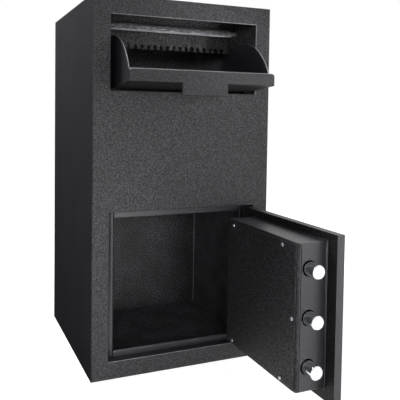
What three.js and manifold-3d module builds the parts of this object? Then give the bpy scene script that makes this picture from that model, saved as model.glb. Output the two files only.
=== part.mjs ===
// A front-loading drop safe: a steel cabinet with a rotary deposit hopper in its upper front and a
// hinged, bolted door below it. Millimetres, +Z up, with the origin at the middle of the footprint.
// Places are written from the middle of the front face, with y running back into the cabinet, and
// the whole safe then moves forward by half its depth. The hopper and the door are shown open.
import * as THREE from 'three';
import { mergeVertices } from 'three/addons/utils/BufferGeometryUtils.js';
import Module from 'manifold-3d';

const wasm = await Module();
wasm.setup();

// Clearances, and how finely rounds are drawn
const FIT_GAP = 0.3;
const CUT_OVERRUN = 1;
const MERGE_DISTANCE = 0.001;
const ROUND_SIDES = 32;
const SMALL_ROUND_SIDES = 20;
const CORNER_SEGMENTS = 4;
const ARC_SEGMENTS = 24;

// Cabinet: folded and welded sheet steel
const CABINET_WIDTH = 356;
const CABINET_DEPTH = 343;
const CABINET_HEIGHT = 685;
const WALL_SHEET = 3.5;
const FRONT_SHEET = 4;
const BACK_INSET = 14;
const ANCHOR_RADIUS = 7;
const ANCHOR_FROM_SIDE = 58;
const ANCHOR_FROM_FRONT = 62;

// Openings in the front plate
const OPENING_SIDE_MARGIN = 32;
const DOOR_OPENING_BOTTOM = 33;
const DOOR_OPENING_HEIGHT = 268.5;
const HOPPER_OPENING_BELOW_TOP = 33.5;
const HOPPER_OPENING_HEIGHT = 133.5;

// Door frame behind the lower opening
const JAMB_SHEET = 3;
const JAMB_BEHIND_DOOR = 1;
const JAMB_SIDE_COVER = 14.5;
const JAMB_TOP_COVER = 13;
const JAMB_BOTTOM_COVER = 11.3;
const KEEPER_CLEARANCE = 0.5;
const TAIL_CLEARANCE = 1.33;

// Door hinge: two shouldered pins turning in sockets welded to the frame
const HINGE_FROM_OPENING_EDGE = 10;
const HINGE_FROM_FRONT = 13;
const PIN_RADIUS = 4;
const PIN_COLLAR_RADIUS = 6;
const PIN_SEAT_LENGTH = 15;
const PIN_SOCKET_LENGTH = 12;
const SOCKET_WIDTH = 20;
const SOCKET_HEIGHT = 12;
const SOCKET_END_WALL = 2;

// Door plate
const DOOR_SHEET = 13.5;
const DOOR_RECESS = 5;
const DOOR_SIDE_CLEARANCE = 1.5;
const DOOR_TOP_CLEARANCE = 3;
const DOOR_BOTTOM_CLEARANCE = 2.5;
const NOTCH_WIDTH = 23;
const NOTCH_HEIGHT = 15.5;

// Bolt box and its cover on the inner face of the door
const BOX_FROM_FREE_EDGE = 22;
const BOX_FROM_HINGE_END = 53;
const BOX_REACH = 57;
const BOX_BELOW_DOOR_TOP = 13;
const BOX_ABOVE_DOOR_BOTTOM = 19.3;
const BOX_SHEET = 2;
const BOX_FLANGE = 14;
const BOX_CORNER_RADIUS = 3;
const COVER_SHEET = 2;
const COVER_INSET = 3;
const COVER_CORNER_RADIUS = 2;
const SCREW_SHANK_RADIUS = 2;
const SCREW_SHANK_LENGTH = 9;
const SCREW_HEAD_RADIUS = 3.3;
const SCREW_HEAD_HEIGHT = 1.6;
const SCREW_CROWN_RADIUS = 2;
const SCREW_FROM_COVER_END = 6.5;
const SCREW_FROM_COVER_SIDE = 6;
const SCREW_FROM_FREE_END = 34;
const SCREW_FROM_HINGE_END = 21;
const SCREW_ABOVE_MIDDLE = 1.5;

// Bolts, their carrier and its guides
const BOLT_RADIUS = 11;
const BOLT_EDGE = 1.2;
const BOLT_THROW = 24;
const BOLT_TRAVEL = 22;
const BOLT_FROM_OUTER_FACE = 47;
const BOLTS_ABOVE_MIDDLE = 3;
const BOLT_PITCH = 76;
const BOLT_HOLE_CLEARANCE = 0.5;
const RIVET_NECK_RADIUS = 6;
const RIVET_HEAD_RADIUS = 9;
const RIVET_HEAD_HEIGHT = 3;
const CARRIER_SHEET = 3;
const CARRIER_FROM_DOOR = 14;
const CARRIER_FROM_BOX_END = 43.2;
const CARRIER_PAST_BOLT = 14;
const CARRIER_FLANGE_REACH = 36.5;
const CARRIER_RIM = 6.3;
const TAIL_HEIGHT = 36;
const TAIL_BELOW_LOCK = 4;
const TAIL_FROM_LOCK_BOLT = 1.8;
const STUD_FROM_CARRIER = 33.3;
const STUD_BELOW_HANDLE = 22;
const STUD_ABOVE_HANDLE = 45;
const STUD_RADIUS = 4;
const STUD_HEAD_RADIUS = 8;
const STUD_HEAD_HEIGHT = 3;
const SLOT_CLEARANCE = 0.7;

// Handle, spindle and cam
const HANDLE_FROM_CARRIER = 30.3;
const HANDLE_BELOW_MIDDLE = 37;
const SPINDLE_RADIUS = 6;
const SPINDLE_TAIL = 1.5;
const ROSE_RADIUS = 24;
const ROSE_HEIGHT = 5;
const HUB_RADIUS = 13;
const HUB_LENGTH = 36;
const HUB_BORE_DEPTH = 25;
const LEVER_LENGTH = 92;
const LEVER_WIDTH = 17;
const LEVER_THICKNESS = 11;
const CAM_STANDOFF = 1;
const CAM_THICKNESS = 5;
const CAM_ARM = 26;
const CAM_END_RADIUS = 8;
const CAM_HUB_RADIUS = 11;
const CAM_PIN_RADIUS = 4;
const CAM_PIN_PAST_CARRIER = 3.5;
const CAM_LEAN_DEGREES = 25;

// Electronic lock inside the bolt box
const LOCK_FROM_AXIS = 61;
const LOCK_WIDTH = 61;
const LOCK_BELOW_BOX_TOP = 10.5;
const LOCK_HEIGHT = 85;
const LOCK_DEPTH = 32;
const LOCK_BOLT_WIDTH = 25.4;
const LOCK_BOLT_THICKNESS = 8;
const LOCK_BOLT_LENGTH = 20;
const LOCK_BOLT_PROUD = 1.5;

// Keypad on the outer face of the door
const KEYPAD_FROM_AXIS = 110;
const KEYPAD_ABOVE_MIDDLE = 48;
const KEYPAD_WIDTH = 76;
const KEYPAD_HEIGHT = 104;
const KEYPAD_DEPTH = 24.7;
const KEYPAD_WALL = 2.5;
const KEYPAD_FACE = 5;
const KEYPAD_CORNER_RADIUS = 8;
const KEYPAD_CABLE_RADIUS = 5;
const KEYS_BELOW_MIDDLE = 8;
const KEY_WIDTH = 13;
const KEY_HEIGHT = 11;
const KEY_PITCH_ACROSS = 18;
const KEY_PITCH_DOWN = 16;
const KEY_PROUD = 1.5;
const KEY_TRAVEL = 1.5;
const KEY_SIDE_CLEARANCE = 0.4;
const KEY_LIP = 1.2;
const KEY_LIP_SHEET = 1.5;
const KEY_OVER_BOARD = 0.5;
const BOARD_SHEET = 1.6;
const KEY_ROWS = [['1', '2', '3'], ['4', '5', '6'], ['7', '8', '9'], ['star', '0', 'hash']];

// Hopper: a trough that turns on a rod behind the lower edge of its opening
const HOPPER_AXIS_FROM_FRONT = 34;
const HOPPER_AXIS_BELOW_OPENING = 8;
const HOPPER_SIDE_CLEARANCE = 8;
const HOPPER_REACH = 114;
const HOPPER_FLOOR_RISE = 9.9;
const HOPPER_BAR_RISE = 20.5;
const HOPPER_SHEET = 3;
const HOPPER_FLOOR_START = 16;
const BAR_HEIGHT = 21.8;
const BAR_THICKNESS = 5;
const TAB_WIDTH = 87.4;
const TAB_DROP = 22;
const TAB_SHEET = 3;
const SIDE_SHEET = 2;
const SIDE_INSET = 3;
const SIDE_RADIUS = 108;
const EAR_RADIUS = 12;
const EAR_TOP_DEGREES = 30;
const RAMP_SHEET = 2;
const RAMP_END_SHORT = 1.5;
const RAMP_LIFT_DEGREES = 30;
const ROD_RADIUS = 4;
const ROD_PAST_CHEEK = 3;

// Chute around the hopper
const CHEEK_SHEET = 3;
const CHEEK_DEPTH = 125;
const CHEEK_BELOW_AXIS = 15;
const LINTEL_END_GAP = 9;
const LINTEL_FROM_FRONT = 80;
const LINTEL_BELOW_OPENING_TOP = 14.5;
const LINTEL_RADIUS = 17;
const LINTEL_SHEET = 3;
const LINTEL_BOSS_RADIUS = 4.5;
const LINTEL_BOSS_DEGREES = 155;
const BAFFLE_FROM_FRONT = 112;
const BAFFLE_SHEET = 3;
const TOOTH_PITCH = 13.8;
const TOOTH_HEIGHT = 9;
const TOOTH_TIP_WIDTH = 3.2;
const TOOTH_NOTCH_WIDTH = 3.6;
const TOOTH_TIP_BELOW_LINTEL = 30;
const STOP_WIDTH = 21;
const STOP_LENGTH = 12;
const STOP_HEIGHT = 12;
const STOP_FROM_SHEET = 2;

// Places worked out from the sizes above
const HALF_WIDTH = CABINET_WIDTH / 2;
const INNER_HALF_WIDTH = HALF_WIDTH - WALL_SHEET;
const HALF_OPENING = HALF_WIDTH - OPENING_SIDE_MARGIN;
const HALF_HOPPER = HALF_OPENING - HOPPER_SIDE_CLEARANCE;
const BEHIND_FRONT = FRONT_SHEET + FIT_GAP;
const ROOF = CABINET_HEIGHT - WALL_SHEET;
const DOOR_OPENING_TOP = DOOR_OPENING_BOTTOM + DOOR_OPENING_HEIGHT;
const HOPPER_OPENING_TOP = CABINET_HEIGHT - HOPPER_OPENING_BELOW_TOP;
const HOPPER_OPENING_BOTTOM = HOPPER_OPENING_TOP - HOPPER_OPENING_HEIGHT;
const HINGE_X = HALF_OPENING - HINGE_FROM_OPENING_EDGE;
const HOPPER_AXIS_Z = HOPPER_OPENING_BOTTOM - HOPPER_AXIS_BELOW_OPENING;
const JAMB_SETBACK = DOOR_RECESS + DOOR_SHEET + JAMB_BEHIND_DOOR;

// The door is written closed, about its hinge axis: x runs from the free edge to the hinge
const OUTER_FACE = DOOR_RECESS - HINGE_FROM_FRONT;
const INNER_FACE = OUTER_FACE + DOOR_SHEET;
const DOOR_HINGE_END = HALF_OPENING - DOOR_SIDE_CLEARANCE - HINGE_X;
const DOOR_FREE_END = DOOR_SIDE_CLEARANCE - HALF_OPENING - HINGE_X;
const DOOR_TOP = DOOR_OPENING_TOP - DOOR_TOP_CLEARANCE;
const DOOR_BOTTOM = DOOR_OPENING_BOTTOM + DOOR_BOTTOM_CLEARANCE;
const DOOR_MIDDLE = (DOOR_TOP + DOOR_BOTTOM) / 2;
const TAIL_SWEEP = Math.hypot(DOOR_HINGE_END, OUTER_FACE) + TAIL_CLEARANCE;
const BOX_FREE_END = DOOR_FREE_END + BOX_FROM_FREE_EDGE;
const BOX_HINGE_END = DOOR_HINGE_END - BOX_FROM_HINGE_END;
const BOX_TOP = DOOR_TOP - BOX_BELOW_DOOR_TOP;
const BOX_BOTTOM = DOOR_BOTTOM + BOX_ABOVE_DOOR_BOTTOM;
const BOX_INNER_FACE = INNER_FACE + BOX_REACH - COVER_SHEET - FIT_GAP;
const COVER_FACE = INNER_FACE + BOX_REACH;
const COVER_TOP = BOX_TOP - COVER_INSET;
const COVER_BOTTOM = BOX_BOTTOM + COVER_INSET;
const COVER_FREE_END = BOX_FREE_END + COVER_INSET;
const COVER_HINGE_END = BOX_HINGE_END - COVER_INSET;
const BOLT_Y = OUTER_FACE + BOLT_FROM_OUTER_FACE;
const BOLT_MIDDLE = DOOR_MIDDLE + BOLTS_ABOVE_MIDDLE;
const BOLT_HEIGHTS = [BOLT_MIDDLE - BOLT_PITCH, BOLT_MIDDLE, BOLT_MIDDLE + BOLT_PITCH];
const CARRIER_X = BOX_FREE_END + CARRIER_FROM_BOX_END;
const CARRIER_Y = INNER_FACE + CARRIER_FROM_DOOR;
const HANDLE_X = CARRIER_X + HANDLE_FROM_CARRIER;
const HANDLE_Z = DOOR_MIDDLE - HANDLE_BELOW_MIDDLE;
const STUD_X = CARRIER_X + STUD_FROM_CARRIER;
const STUD_HEIGHTS = [HANDLE_Z - STUD_BELOW_HANDLE, HANDLE_Z + STUD_ABOVE_HANDLE];
const LOCK_BOTTOM = BOX_TOP - LOCK_BELOW_BOX_TOP - LOCK_HEIGHT;
const LOCK_MIDDLE_X = -LOCK_FROM_AXIS - LOCK_WIDTH / 2;
const KEYPAD_Z = DOOR_MIDDLE + KEYPAD_ABOVE_MIDDLE;
const CAM_Y = INNER_FACE + CAM_STANDOFF;
const HUB_START = OUTER_FACE - ROSE_HEIGHT - 2 * FIT_GAP;
const KEYPAD_FRONT = OUTER_FACE - FIT_GAP - KEYPAD_DEPTH;
const KEYPAD_INNER = KEYPAD_FRONT + KEYPAD_FACE;
const KEY_LIP_BACK = KEYPAD_INNER + FIT_GAP + KEY_LIP_SHEET;
const BOARD_FACE = KEY_LIP_BACK + KEY_TRAVEL + KEY_OVER_BOARD;

// Finishes of the real pieces
const POWDER_COAT = { color: 0x2b2c2f, roughness: 0.62, metalness: 0.25 };
const SATIN_PAINT = { color: 0x35363a, roughness: 0.45, metalness: 0.3 };
const CHROME = { color: 0xdfe2e6, roughness: 0.12, metalness: 1 };
const ZINC = { color: 0xa9adb3, roughness: 0.38, metalness: 0.9 };
const STEEL = { color: 0x77797c, roughness: 0.4, metalness: 0.9 };
const BLACK_PLASTIC = { color: 0x17181a, roughness: 0.55, metalness: 0 };
const KEY_PLASTIC = { color: 0x3a3c40, roughness: 0.5, metalness: 0 };
const CIRCUIT_BOARD = { color: 0x1d4a2c, roughness: 0.5, metalness: 0 };
const RUBBER = { color: 0x141414, roughness: 0.85, metalness: 0 };

// Turns that lay an outline drawn in x and y across another pair of axes before it is extruded
const ACROSS = {
  x: turn([0, 1, 0], [0, 0, 1], [1, 0, 0]),
  y: turn([1, 0, 0], [0, 0, 1], [0, -1, 0]),
};

function turn(...axes) {
  return new THREE.Matrix4().makeBasis(...axes.map((axis) => new THREE.Vector3(...axis)));
}

function radians(degrees) {
  return THREE.MathUtils.degToRad(degrees);
}

// A closed geometry as a solid that can be joined and cut
function solid(geometry) {
  const bare = geometry.clone();
  bare.deleteAttribute('normal');
  bare.deleteAttribute('uv');
  const merged = mergeVertices(bare, MERGE_DISTANCE);
  const triVerts = new Uint32Array(merged.index.array);
  const vertProperties = new Float32Array(merged.attributes.position.array);
  return new wasm.Manifold(new wasm.Mesh({ numProp: 3, vertProperties, triVerts }));
}

function geometryOf(body) {
  const made = body.getMesh();
  const geometry = new THREE.BufferGeometry();
  geometry.setAttribute('position', new THREE.BufferAttribute(new Float32Array(made.vertProperties), 3));
  geometry.setIndex(new THREE.BufferAttribute(new Uint32Array(made.triVerts), 1));
  geometry.computeVertexNormals();
  return geometry;
}

// A rectangular block between two values on each axis
function block([left, right], [near, far], [low, high]) {
  const geometry = new THREE.BoxGeometry(right - left, far - near, high - low);
  geometry.translate((left + right) / 2, (near + far) / 2, (low + high) / 2);
  return solid(geometry);
}

// An outline extruded along an axis between two values; an x outline is in y and z, a y one in x and z
function extruded(shape, axis, [from, to], curveSegments = ARC_SEGMENTS) {
  const geometry = new THREE.ExtrudeGeometry(shape, { depth: to - from, bevelEnabled: false, curveSegments });
  geometry.applyMatrix4(ACROSS[axis]);
  const start = axis === 'y' ? to : from;
  const place = { x: [start, 0, 0], y: [0, start, 0] }[axis];
  geometry.translate(...place);
  return solid(geometry);
}

function polygon(points) {
  return new THREE.Shape(points.map(([a, b]) => new THREE.Vector2(a, b)));
}

function roundedRectangle([left, right], [low, high], radius) {
  const shape = new THREE.Shape();
  const quarter = Math.PI / 2;
  shape.moveTo(left + radius, low);
  shape.absarc(right - radius, low + radius, radius, -quarter, 0);
  shape.absarc(right - radius, high - radius, radius, 0, quarter);
  shape.absarc(left + radius, high - radius, radius, quarter, Math.PI);
  shape.absarc(left + radius, low + radius, radius, Math.PI, Math.PI + quarter);
  return shape;
}

// A rod turned from radius and length pairs along an axis, at a place across it
function turned(profile, axis, [a, b], sides = ROUND_SIDES) {
  const geometry = new THREE.LatheGeometry(profile.map(([r, along]) => new THREE.Vector2(r, along)), sides);
  if (axis === 'x') {
    geometry.rotateZ(-Math.PI / 2);
    geometry.translate(0, a, b);
  }
  if (axis === 'y') {
    geometry.translate(a, 0, b);
  }
  if (axis === 'z') {
    geometry.rotateX(Math.PI / 2);
    geometry.translate(a, b, 0);
  }
  return solid(geometry);
}

function cylinder(radius, axis, [from, to], place, sides = ROUND_SIDES) {
  return turned([[0, from], [radius, from], [radius, to], [0, to]], axis, place, sides);
}

function joined(first, ...others) {
  return others.reduce((sum, next) => sum.add(next), first);
}

function cut(body, ...tools) {
  return tools.reduce((left, tool) => left.subtract(tool), body);
}

function piece(name, body, look) {
  const mesh = new THREE.Mesh(geometryOf(body), new THREE.MeshStandardMaterial(look));
  mesh.name = name;
  return mesh;
}

// Cabinet: six plates, with the front one cut for the hopper and the door
function cabinetPlates() {
  const behind = [BEHIND_FRONT, CABINET_DEPTH];
  const between = [FIT_GAP - INNER_HALF_WIDTH, INNER_HALF_WIDTH - FIT_GAP];
  const full = [0, CABINET_HEIGHT];
  const opening = [-HALF_OPENING, HALF_OPENING];
  const through = [-CUT_OVERRUN, FRONT_SHEET + CUT_OVERRUN];
  const front = cut(
    block([-HALF_WIDTH, HALF_WIDTH], [0, FRONT_SHEET], full),
    block(opening, through, [DOOR_OPENING_BOTTOM, DOOR_OPENING_TOP]),
    block(opening, through, [HOPPER_OPENING_BOTTOM, HOPPER_OPENING_TOP]),
  );
  const drill = [-CUT_OVERRUN, WALL_SHEET + CUT_OVERRUN];
  const anchors = [ANCHOR_FROM_SIDE - HALF_WIDTH, HALF_WIDTH - ANCHOR_FROM_SIDE].map((x) =>
    cylinder(ANCHOR_RADIUS, 'z', drill, [x, ANCHOR_FROM_FRONT]));
  const back = [CABINET_DEPTH - BACK_INSET - WALL_SHEET, CABINET_DEPTH - BACK_INSET];
  return [
    piece('front_plate', front, POWDER_COAT),
    piece('left_wall', block([-HALF_WIDTH, -INNER_HALF_WIDTH], behind, full), POWDER_COAT),
    piece('right_wall', block([INNER_HALF_WIDTH, HALF_WIDTH], behind, full), POWDER_COAT),
    piece('top_plate', block(between, behind, [ROOF, CABINET_HEIGHT]), POWDER_COAT),
    piece('bottom_plate', cut(block(between, behind, [0, WALL_SHEET]), ...anchors), POWDER_COAT),
    piece('back_plate', block(between, back, [WALL_SHEET + FIT_GAP, ROOF - FIT_GAP]), POWDER_COAT),
  ];
}

// Door frame: four folded sections round the lower opening, two with a hinge socket welded on
function doorFrame() {
  const back = JAMB_SETBACK + JAMB_SHEET;
  const sideHeights = [DOOR_OPENING_BOTTOM + FIT_GAP, DOOR_OPENING_TOP - FIT_GAP];
  const keeperBack = HINGE_FROM_FRONT + BOLT_Y - BOLT_RADIUS - KEEPER_CLEARANCE;
  const leftOuter = -HALF_OPENING - JAMB_SHEET;
  const leftInner = JAMB_SIDE_COVER - HALF_OPENING;
  const left = joined(
    block([leftOuter, -HALF_OPENING], [BEHIND_FRONT, back], sideHeights),
    block([leftOuter, leftInner], [JAMB_SETBACK, back], sideHeights),
    block([leftInner - JAMB_SHEET, leftInner], [JAMB_SETBACK, keeperBack], sideHeights),
  );
  const rightInner = HINGE_X + TAIL_SWEEP;
  const rightSetback = HINGE_FROM_FRONT + TAIL_SWEEP;
  const rightBack = rightSetback + JAMB_SHEET;
  const right = joined(
    block([rightInner, rightInner + JAMB_SHEET], [BEHIND_FRONT, rightBack], sideHeights),
    block([HALF_OPENING - JAMB_SIDE_COVER, rightInner + JAMB_SHEET], [rightSetback, rightBack], sideHeights),
  );
  const shelfAcross = [leftOuter, rightInner + JAMB_SHEET];
  const stripAcross = [leftInner + FIT_GAP, rightInner - FIT_GAP];
  const socketAcross = [HINGE_X - SOCKET_WIDTH / 2, HINGE_X + SOCKET_WIDTH / 2];
  const boreDepth = JAMB_SHEET + SOCKET_HEIGHT - SOCKET_END_WALL;
  const hinge = [HINGE_X, HINGE_FROM_FRONT];
  const topOuter = DOOR_OPENING_TOP + JAMB_SHEET;
  const topBore = [DOOR_OPENING_TOP - CUT_OVERRUN, DOOR_OPENING_TOP + boreDepth];
  const top = cut(
    joined(
      block(shelfAcross, [BEHIND_FRONT, back], [DOOR_OPENING_TOP, topOuter]),
      block(stripAcross, [JAMB_SETBACK, back], [DOOR_OPENING_TOP - JAMB_TOP_COVER, topOuter]),
      block(socketAcross, [BEHIND_FRONT, back], [DOOR_OPENING_TOP, topOuter + SOCKET_HEIGHT]),
    ),
    cylinder(PIN_RADIUS + FIT_GAP, 'z', topBore, hinge),
  );
  const bottomOuter = DOOR_OPENING_BOTTOM - JAMB_SHEET;
  const bottomBore = [DOOR_OPENING_BOTTOM - boreDepth, DOOR_OPENING_BOTTOM + CUT_OVERRUN];
  const bottom = cut(
    joined(
      block(shelfAcross, [BEHIND_FRONT, back], [bottomOuter, DOOR_OPENING_BOTTOM]),
      block(stripAcross, [JAMB_SETBACK, back], [bottomOuter, DOOR_OPENING_BOTTOM + JAMB_BOTTOM_COVER]),
      block(socketAcross, [BEHIND_FRONT, back], [bottomOuter - SOCKET_HEIGHT, DOOR_OPENING_BOTTOM]),
    ),
    cylinder(PIN_RADIUS + FIT_GAP, 'z', bottomBore, hinge),
  );
  return [
    piece('jamb_left', left, SATIN_PAINT),
    piece('jamb_right', right, SATIN_PAINT),
    piece('jamb_top', top, SATIN_PAINT),
    piece('jamb_bottom', bottom, SATIN_PAINT),
  ];
}

// The rolled lip bar above the hopper, as its outline in y and z
function lintelOutline(middle, low) {
  const shape = new THREE.Shape();
  const back = BAFFLE_FROM_FRONT - FIT_GAP;
  const quarter = Math.PI / 2;
  shape.moveTo(middle - LINTEL_RADIUS, low);
  shape.absarc(middle, low, LINTEL_RADIUS, Math.PI, quarter, true);
  shape.lineTo(back, low + LINTEL_RADIUS);
  shape.lineTo(back, low + LINTEL_RADIUS - LINTEL_SHEET);
  shape.absarc(middle, low, LINTEL_RADIUS - LINTEL_SHEET, quarter, Math.PI, false);
  return shape;
}

// The anti-fishing plate, with a row of blunt teeth along its lower edge
function baffleOutline(tip) {
  const half = HALF_OPENING;
  const count = Math.floor((2 * half) / TOOTH_PITCH);
  const start = (-count * TOOTH_PITCH) / 2;
  const root = tip + TOOTH_HEIGHT;
  const halfNotch = TOOTH_NOTCH_WIDTH / 2;
  const halfTip = TOOTH_TIP_WIDTH / 2;
  const points = [[half, ROOF - FIT_GAP], [-half, ROOF - FIT_GAP], [-half, root]];
  for (let tooth = 0; tooth < count; tooth += 1) {
    const left = start + tooth * TOOTH_PITCH;
    const middle = left + TOOTH_PITCH / 2;
    const right = left + TOOTH_PITCH;
    points.push([left + halfNotch, root], [middle - halfTip, tip]);
    points.push([middle + halfTip, tip], [right - halfNotch, root]);
  }
  points.push([half, root]);
  return polygon(points);
}

// Height of the hopper's underside over its axis, at a distance in front of it
function floorUnder(forward) {
  return HOPPER_FLOOR_RISE + (forward * (HOPPER_BAR_RISE - HOPPER_FLOOR_RISE)) / HOPPER_REACH;
}

// Chute: two cheeks, the lip bar on its bosses, the toothed plate and the hopper's rubber stops
function chute() {
  const lintelLow = HOPPER_OPENING_TOP - LINTEL_BELOW_OPENING_TOP;
  const lintelMiddle = LINTEL_FROM_FRONT + LINTEL_RADIUS;
  const halfLintel = HALF_OPENING - LINTEL_END_GAP;
  const lintelShape = lintelOutline(lintelMiddle, lintelLow);
  const baffleShape = baffleOutline(lintelLow - TOOTH_TIP_BELOW_LINTEL);
  const baffleDepth = [BAFFLE_FROM_FRONT, BAFFLE_FROM_FRONT + BAFFLE_SHEET];
  const lintel = extruded(lintelShape, 'x', [-halfLintel, halfLintel], CORNER_SEGMENTS * 2);
  const pieces = [
    piece('lintel_bar', lintel, SATIN_PAINT),
    piece('sawtooth_baffle', extruded(baffleShape, 'y', baffleDepth), POWDER_COAT),
  ];
  const bossArm = LINTEL_RADIUS - LINTEL_SHEET / 2;
  const bossTurn = radians(LINTEL_BOSS_DEGREES);
  const boss = [lintelMiddle + bossArm * Math.cos(bossTurn), lintelLow + bossArm * Math.sin(bossTurn)];
  const stopNear = BEHIND_FRONT + STOP_FROM_SHEET;
  const stopFar = stopNear + STOP_LENGTH;
  const stopTop = (y) => HOPPER_AXIS_Z + floorUnder(HOPPER_AXIS_FROM_FRONT - y) - FIT_GAP;
  const stopShape = polygon([
    [stopNear, stopTop(stopNear)],
    [stopFar, stopTop(stopFar)],
    [stopFar, stopTop(stopFar) - STOP_HEIGHT],
    [stopNear, stopTop(stopFar) - STOP_HEIGHT],
  ]);
  for (const [side, name] of [[-1, 'left'], [1, 'right']]) {
    const across = (inner, outer) => [inner, outer].map((x) => side * x).sort((a, b) => a - b);
    const cheekInner = HALF_OPENING + FIT_GAP;
    const cheekAcross = across(cheekInner, cheekInner + CHEEK_SHEET);
    const drill = across(cheekInner - CUT_OVERRUN, cheekInner + CHEEK_SHEET + CUT_OVERRUN);
    const cheek = cut(
      block(cheekAcross, [BEHIND_FRONT, CHEEK_DEPTH], [HOPPER_AXIS_Z - CHEEK_BELOW_AXIS, ROOF - FIT_GAP]),
      cylinder(ROD_RADIUS + FIT_GAP, 'x', drill, [HOPPER_AXIS_FROM_FRONT, HOPPER_AXIS_Z]),
    );
    const bossAcross = across(halfLintel + FIT_GAP, HALF_OPENING);
    const bossBody = cylinder(LINTEL_BOSS_RADIUS, 'x', bossAcross, boss, SMALL_ROUND_SIDES);
    const stopBody = extruded(stopShape, 'x', across(HALF_OPENING - STOP_WIDTH, HALF_OPENING));
    pieces.push(
      piece(`chute_cheek_${name}`, cheek, SATIN_PAINT),
      piece(`lintel_boss_${name}`, bossBody, ZINC),
      piece(`hopper_stop_${name}`, stopBody, RUBBER),
    );
  }
  return pieces;
}

// Hopper, written open about its rod: the sloping floor with its upright bar and pull tab
function hopperPanel() {
  const barTop = HOPPER_BAR_RISE + BAR_HEIGHT;
  const barBack = HOPPER_REACH - BAR_THICKNESS;
  const shape = polygon([
    [-HOPPER_FLOOR_START, floorUnder(HOPPER_FLOOR_START)],
    [-HOPPER_REACH, HOPPER_BAR_RISE],
    [-HOPPER_REACH, barTop],
    [-barBack, barTop],
    [-barBack, floorUnder(barBack) + HOPPER_SHEET],
    [-HOPPER_FLOOR_START, floorUnder(HOPPER_FLOOR_START) + HOPPER_SHEET],
  ]);
  const tab = block(
    [-TAB_WIDTH / 2, TAB_WIDTH / 2],
    [-HOPPER_REACH, TAB_SHEET - HOPPER_REACH],
    [HOPPER_BAR_RISE - TAB_DROP, HOPPER_BAR_RISE + CUT_OVERRUN],
  );
  return joined(extruded(shape, 'x', [-HALF_HOPPER, HALF_HOPPER]), tab);
}

// A side plate of the hopper: an arc about the rod, with an ear that hangs on it
function hopperSideOutline() {
  const barTop = HOPPER_BAR_RISE + BAR_HEIGHT;
  const front = HOPPER_REACH - BAR_THICKNESS - FIT_GAP;
  const earTop = radians(EAR_TOP_DEGREES);
  const arcStart = Math.PI - Math.asin(barTop / SIDE_RADIUS);
  const shape = new THREE.Shape();
  shape.moveTo(-front, floorUnder(front) + HOPPER_SHEET + FIT_GAP);
  shape.lineTo(-front, barTop);
  shape.absarc(0, 0, SIDE_RADIUS, arcStart, radians(RAMP_LIFT_DEGREES), true);
  shape.absarc(0, 0, EAR_RADIUS, earTop, -Math.PI - earTop, true);
  shape.lineTo(-HOPPER_FLOOR_START, floorUnder(HOPPER_FLOOR_START) + HOPPER_SHEET + FIT_GAP);
  const rod = new THREE.Path();
  rod.absarc(0, 0, ROD_RADIUS + FIT_GAP, 0, 2 * Math.PI);
  shape.holes.push(rod);
  return shape;
}

function hopperRamp() {
  const end = SIDE_RADIUS - RAMP_END_SHORT;
  const lift = radians(RAMP_LIFT_DEGREES);
  const [endY, endZ] = [end * Math.cos(lift), end * Math.sin(lift)];
  const startY = FIT_GAP - HOPPER_FLOOR_START;
  const startZ = floorUnder(HOPPER_FLOOR_START) + HOPPER_SHEET;
  const shape = polygon([
    [startY, startZ],
    [endY, endZ],
    [endY, endZ - RAMP_SHEET],
    [startY, startZ - RAMP_SHEET],
  ]);
  const half = HALF_HOPPER - SIDE_INSET - SIDE_SHEET - FIT_GAP;
  return extruded(shape, 'x', [-half, half]);
}

function hopper() {
  const group = new THREE.Group();
  group.position.set(0, HOPPER_AXIS_FROM_FRONT, HOPPER_AXIS_Z);
  const outer = HALF_HOPPER - SIDE_INSET;
  const side = hopperSideOutline();
  const rodEnd = HALF_OPENING + FIT_GAP + CHEEK_SHEET + ROD_PAST_CHEEK;
  group.add(
    piece('hopper_panel', hopperPanel(), POWDER_COAT),
    piece('hopper_side_left', extruded(side, 'x', [-outer, SIDE_SHEET - outer]), SATIN_PAINT),
    piece('hopper_side_right', extruded(side, 'x', [outer - SIDE_SHEET, outer]), SATIN_PAINT),
    piece('hopper_ramp', hopperRamp(), SATIN_PAINT),
    piece('hopper_rod', cylinder(ROD_RADIUS, 'x', [-rodEnd, rodEnd], [0, 0], SMALL_ROUND_SIDES), ZINC),
  );
  return group;
}

// Door plate, notched at its hinge corners for the pins
function doorPlate() {
  const notchX = DOOR_HINGE_END - NOTCH_WIDTH;
  const notchTop = DOOR_TOP - NOTCH_HEIGHT;
  const notchBottom = DOOR_BOTTOM + NOTCH_HEIGHT;
  const shape = polygon([
    [DOOR_FREE_END, DOOR_BOTTOM],
    [notchX, DOOR_BOTTOM],
    [notchX, notchBottom],
    [DOOR_HINGE_END, notchBottom],
    [DOOR_HINGE_END, notchTop],
    [notchX, notchTop],
    [notchX, DOOR_TOP],
    [DOOR_FREE_END, DOOR_TOP],
  ]);
  const through = [OUTER_FACE - CUT_OVERRUN, INNER_FACE + CUT_OVERRUN];
  const bore = PIN_RADIUS + FIT_GAP;
  return cut(
    extruded(shape, 'y', [OUTER_FACE, INNER_FACE]),
    cylinder(bore, 'z', [notchTop - PIN_SEAT_LENGTH - FIT_GAP, notchTop + CUT_OVERRUN], [0, 0]),
    cylinder(bore, 'z', [notchBottom - CUT_OVERRUN, notchBottom + PIN_SEAT_LENGTH + FIT_GAP], [0, 0]),
    cylinder(SPINDLE_RADIUS + FIT_GAP, 'y', through, [HANDLE_X, HANDLE_Z]),
    cylinder(KEYPAD_CABLE_RADIUS, 'y', through, [-KEYPAD_FROM_AXIS, KEYPAD_Z]),
  );
}

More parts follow.
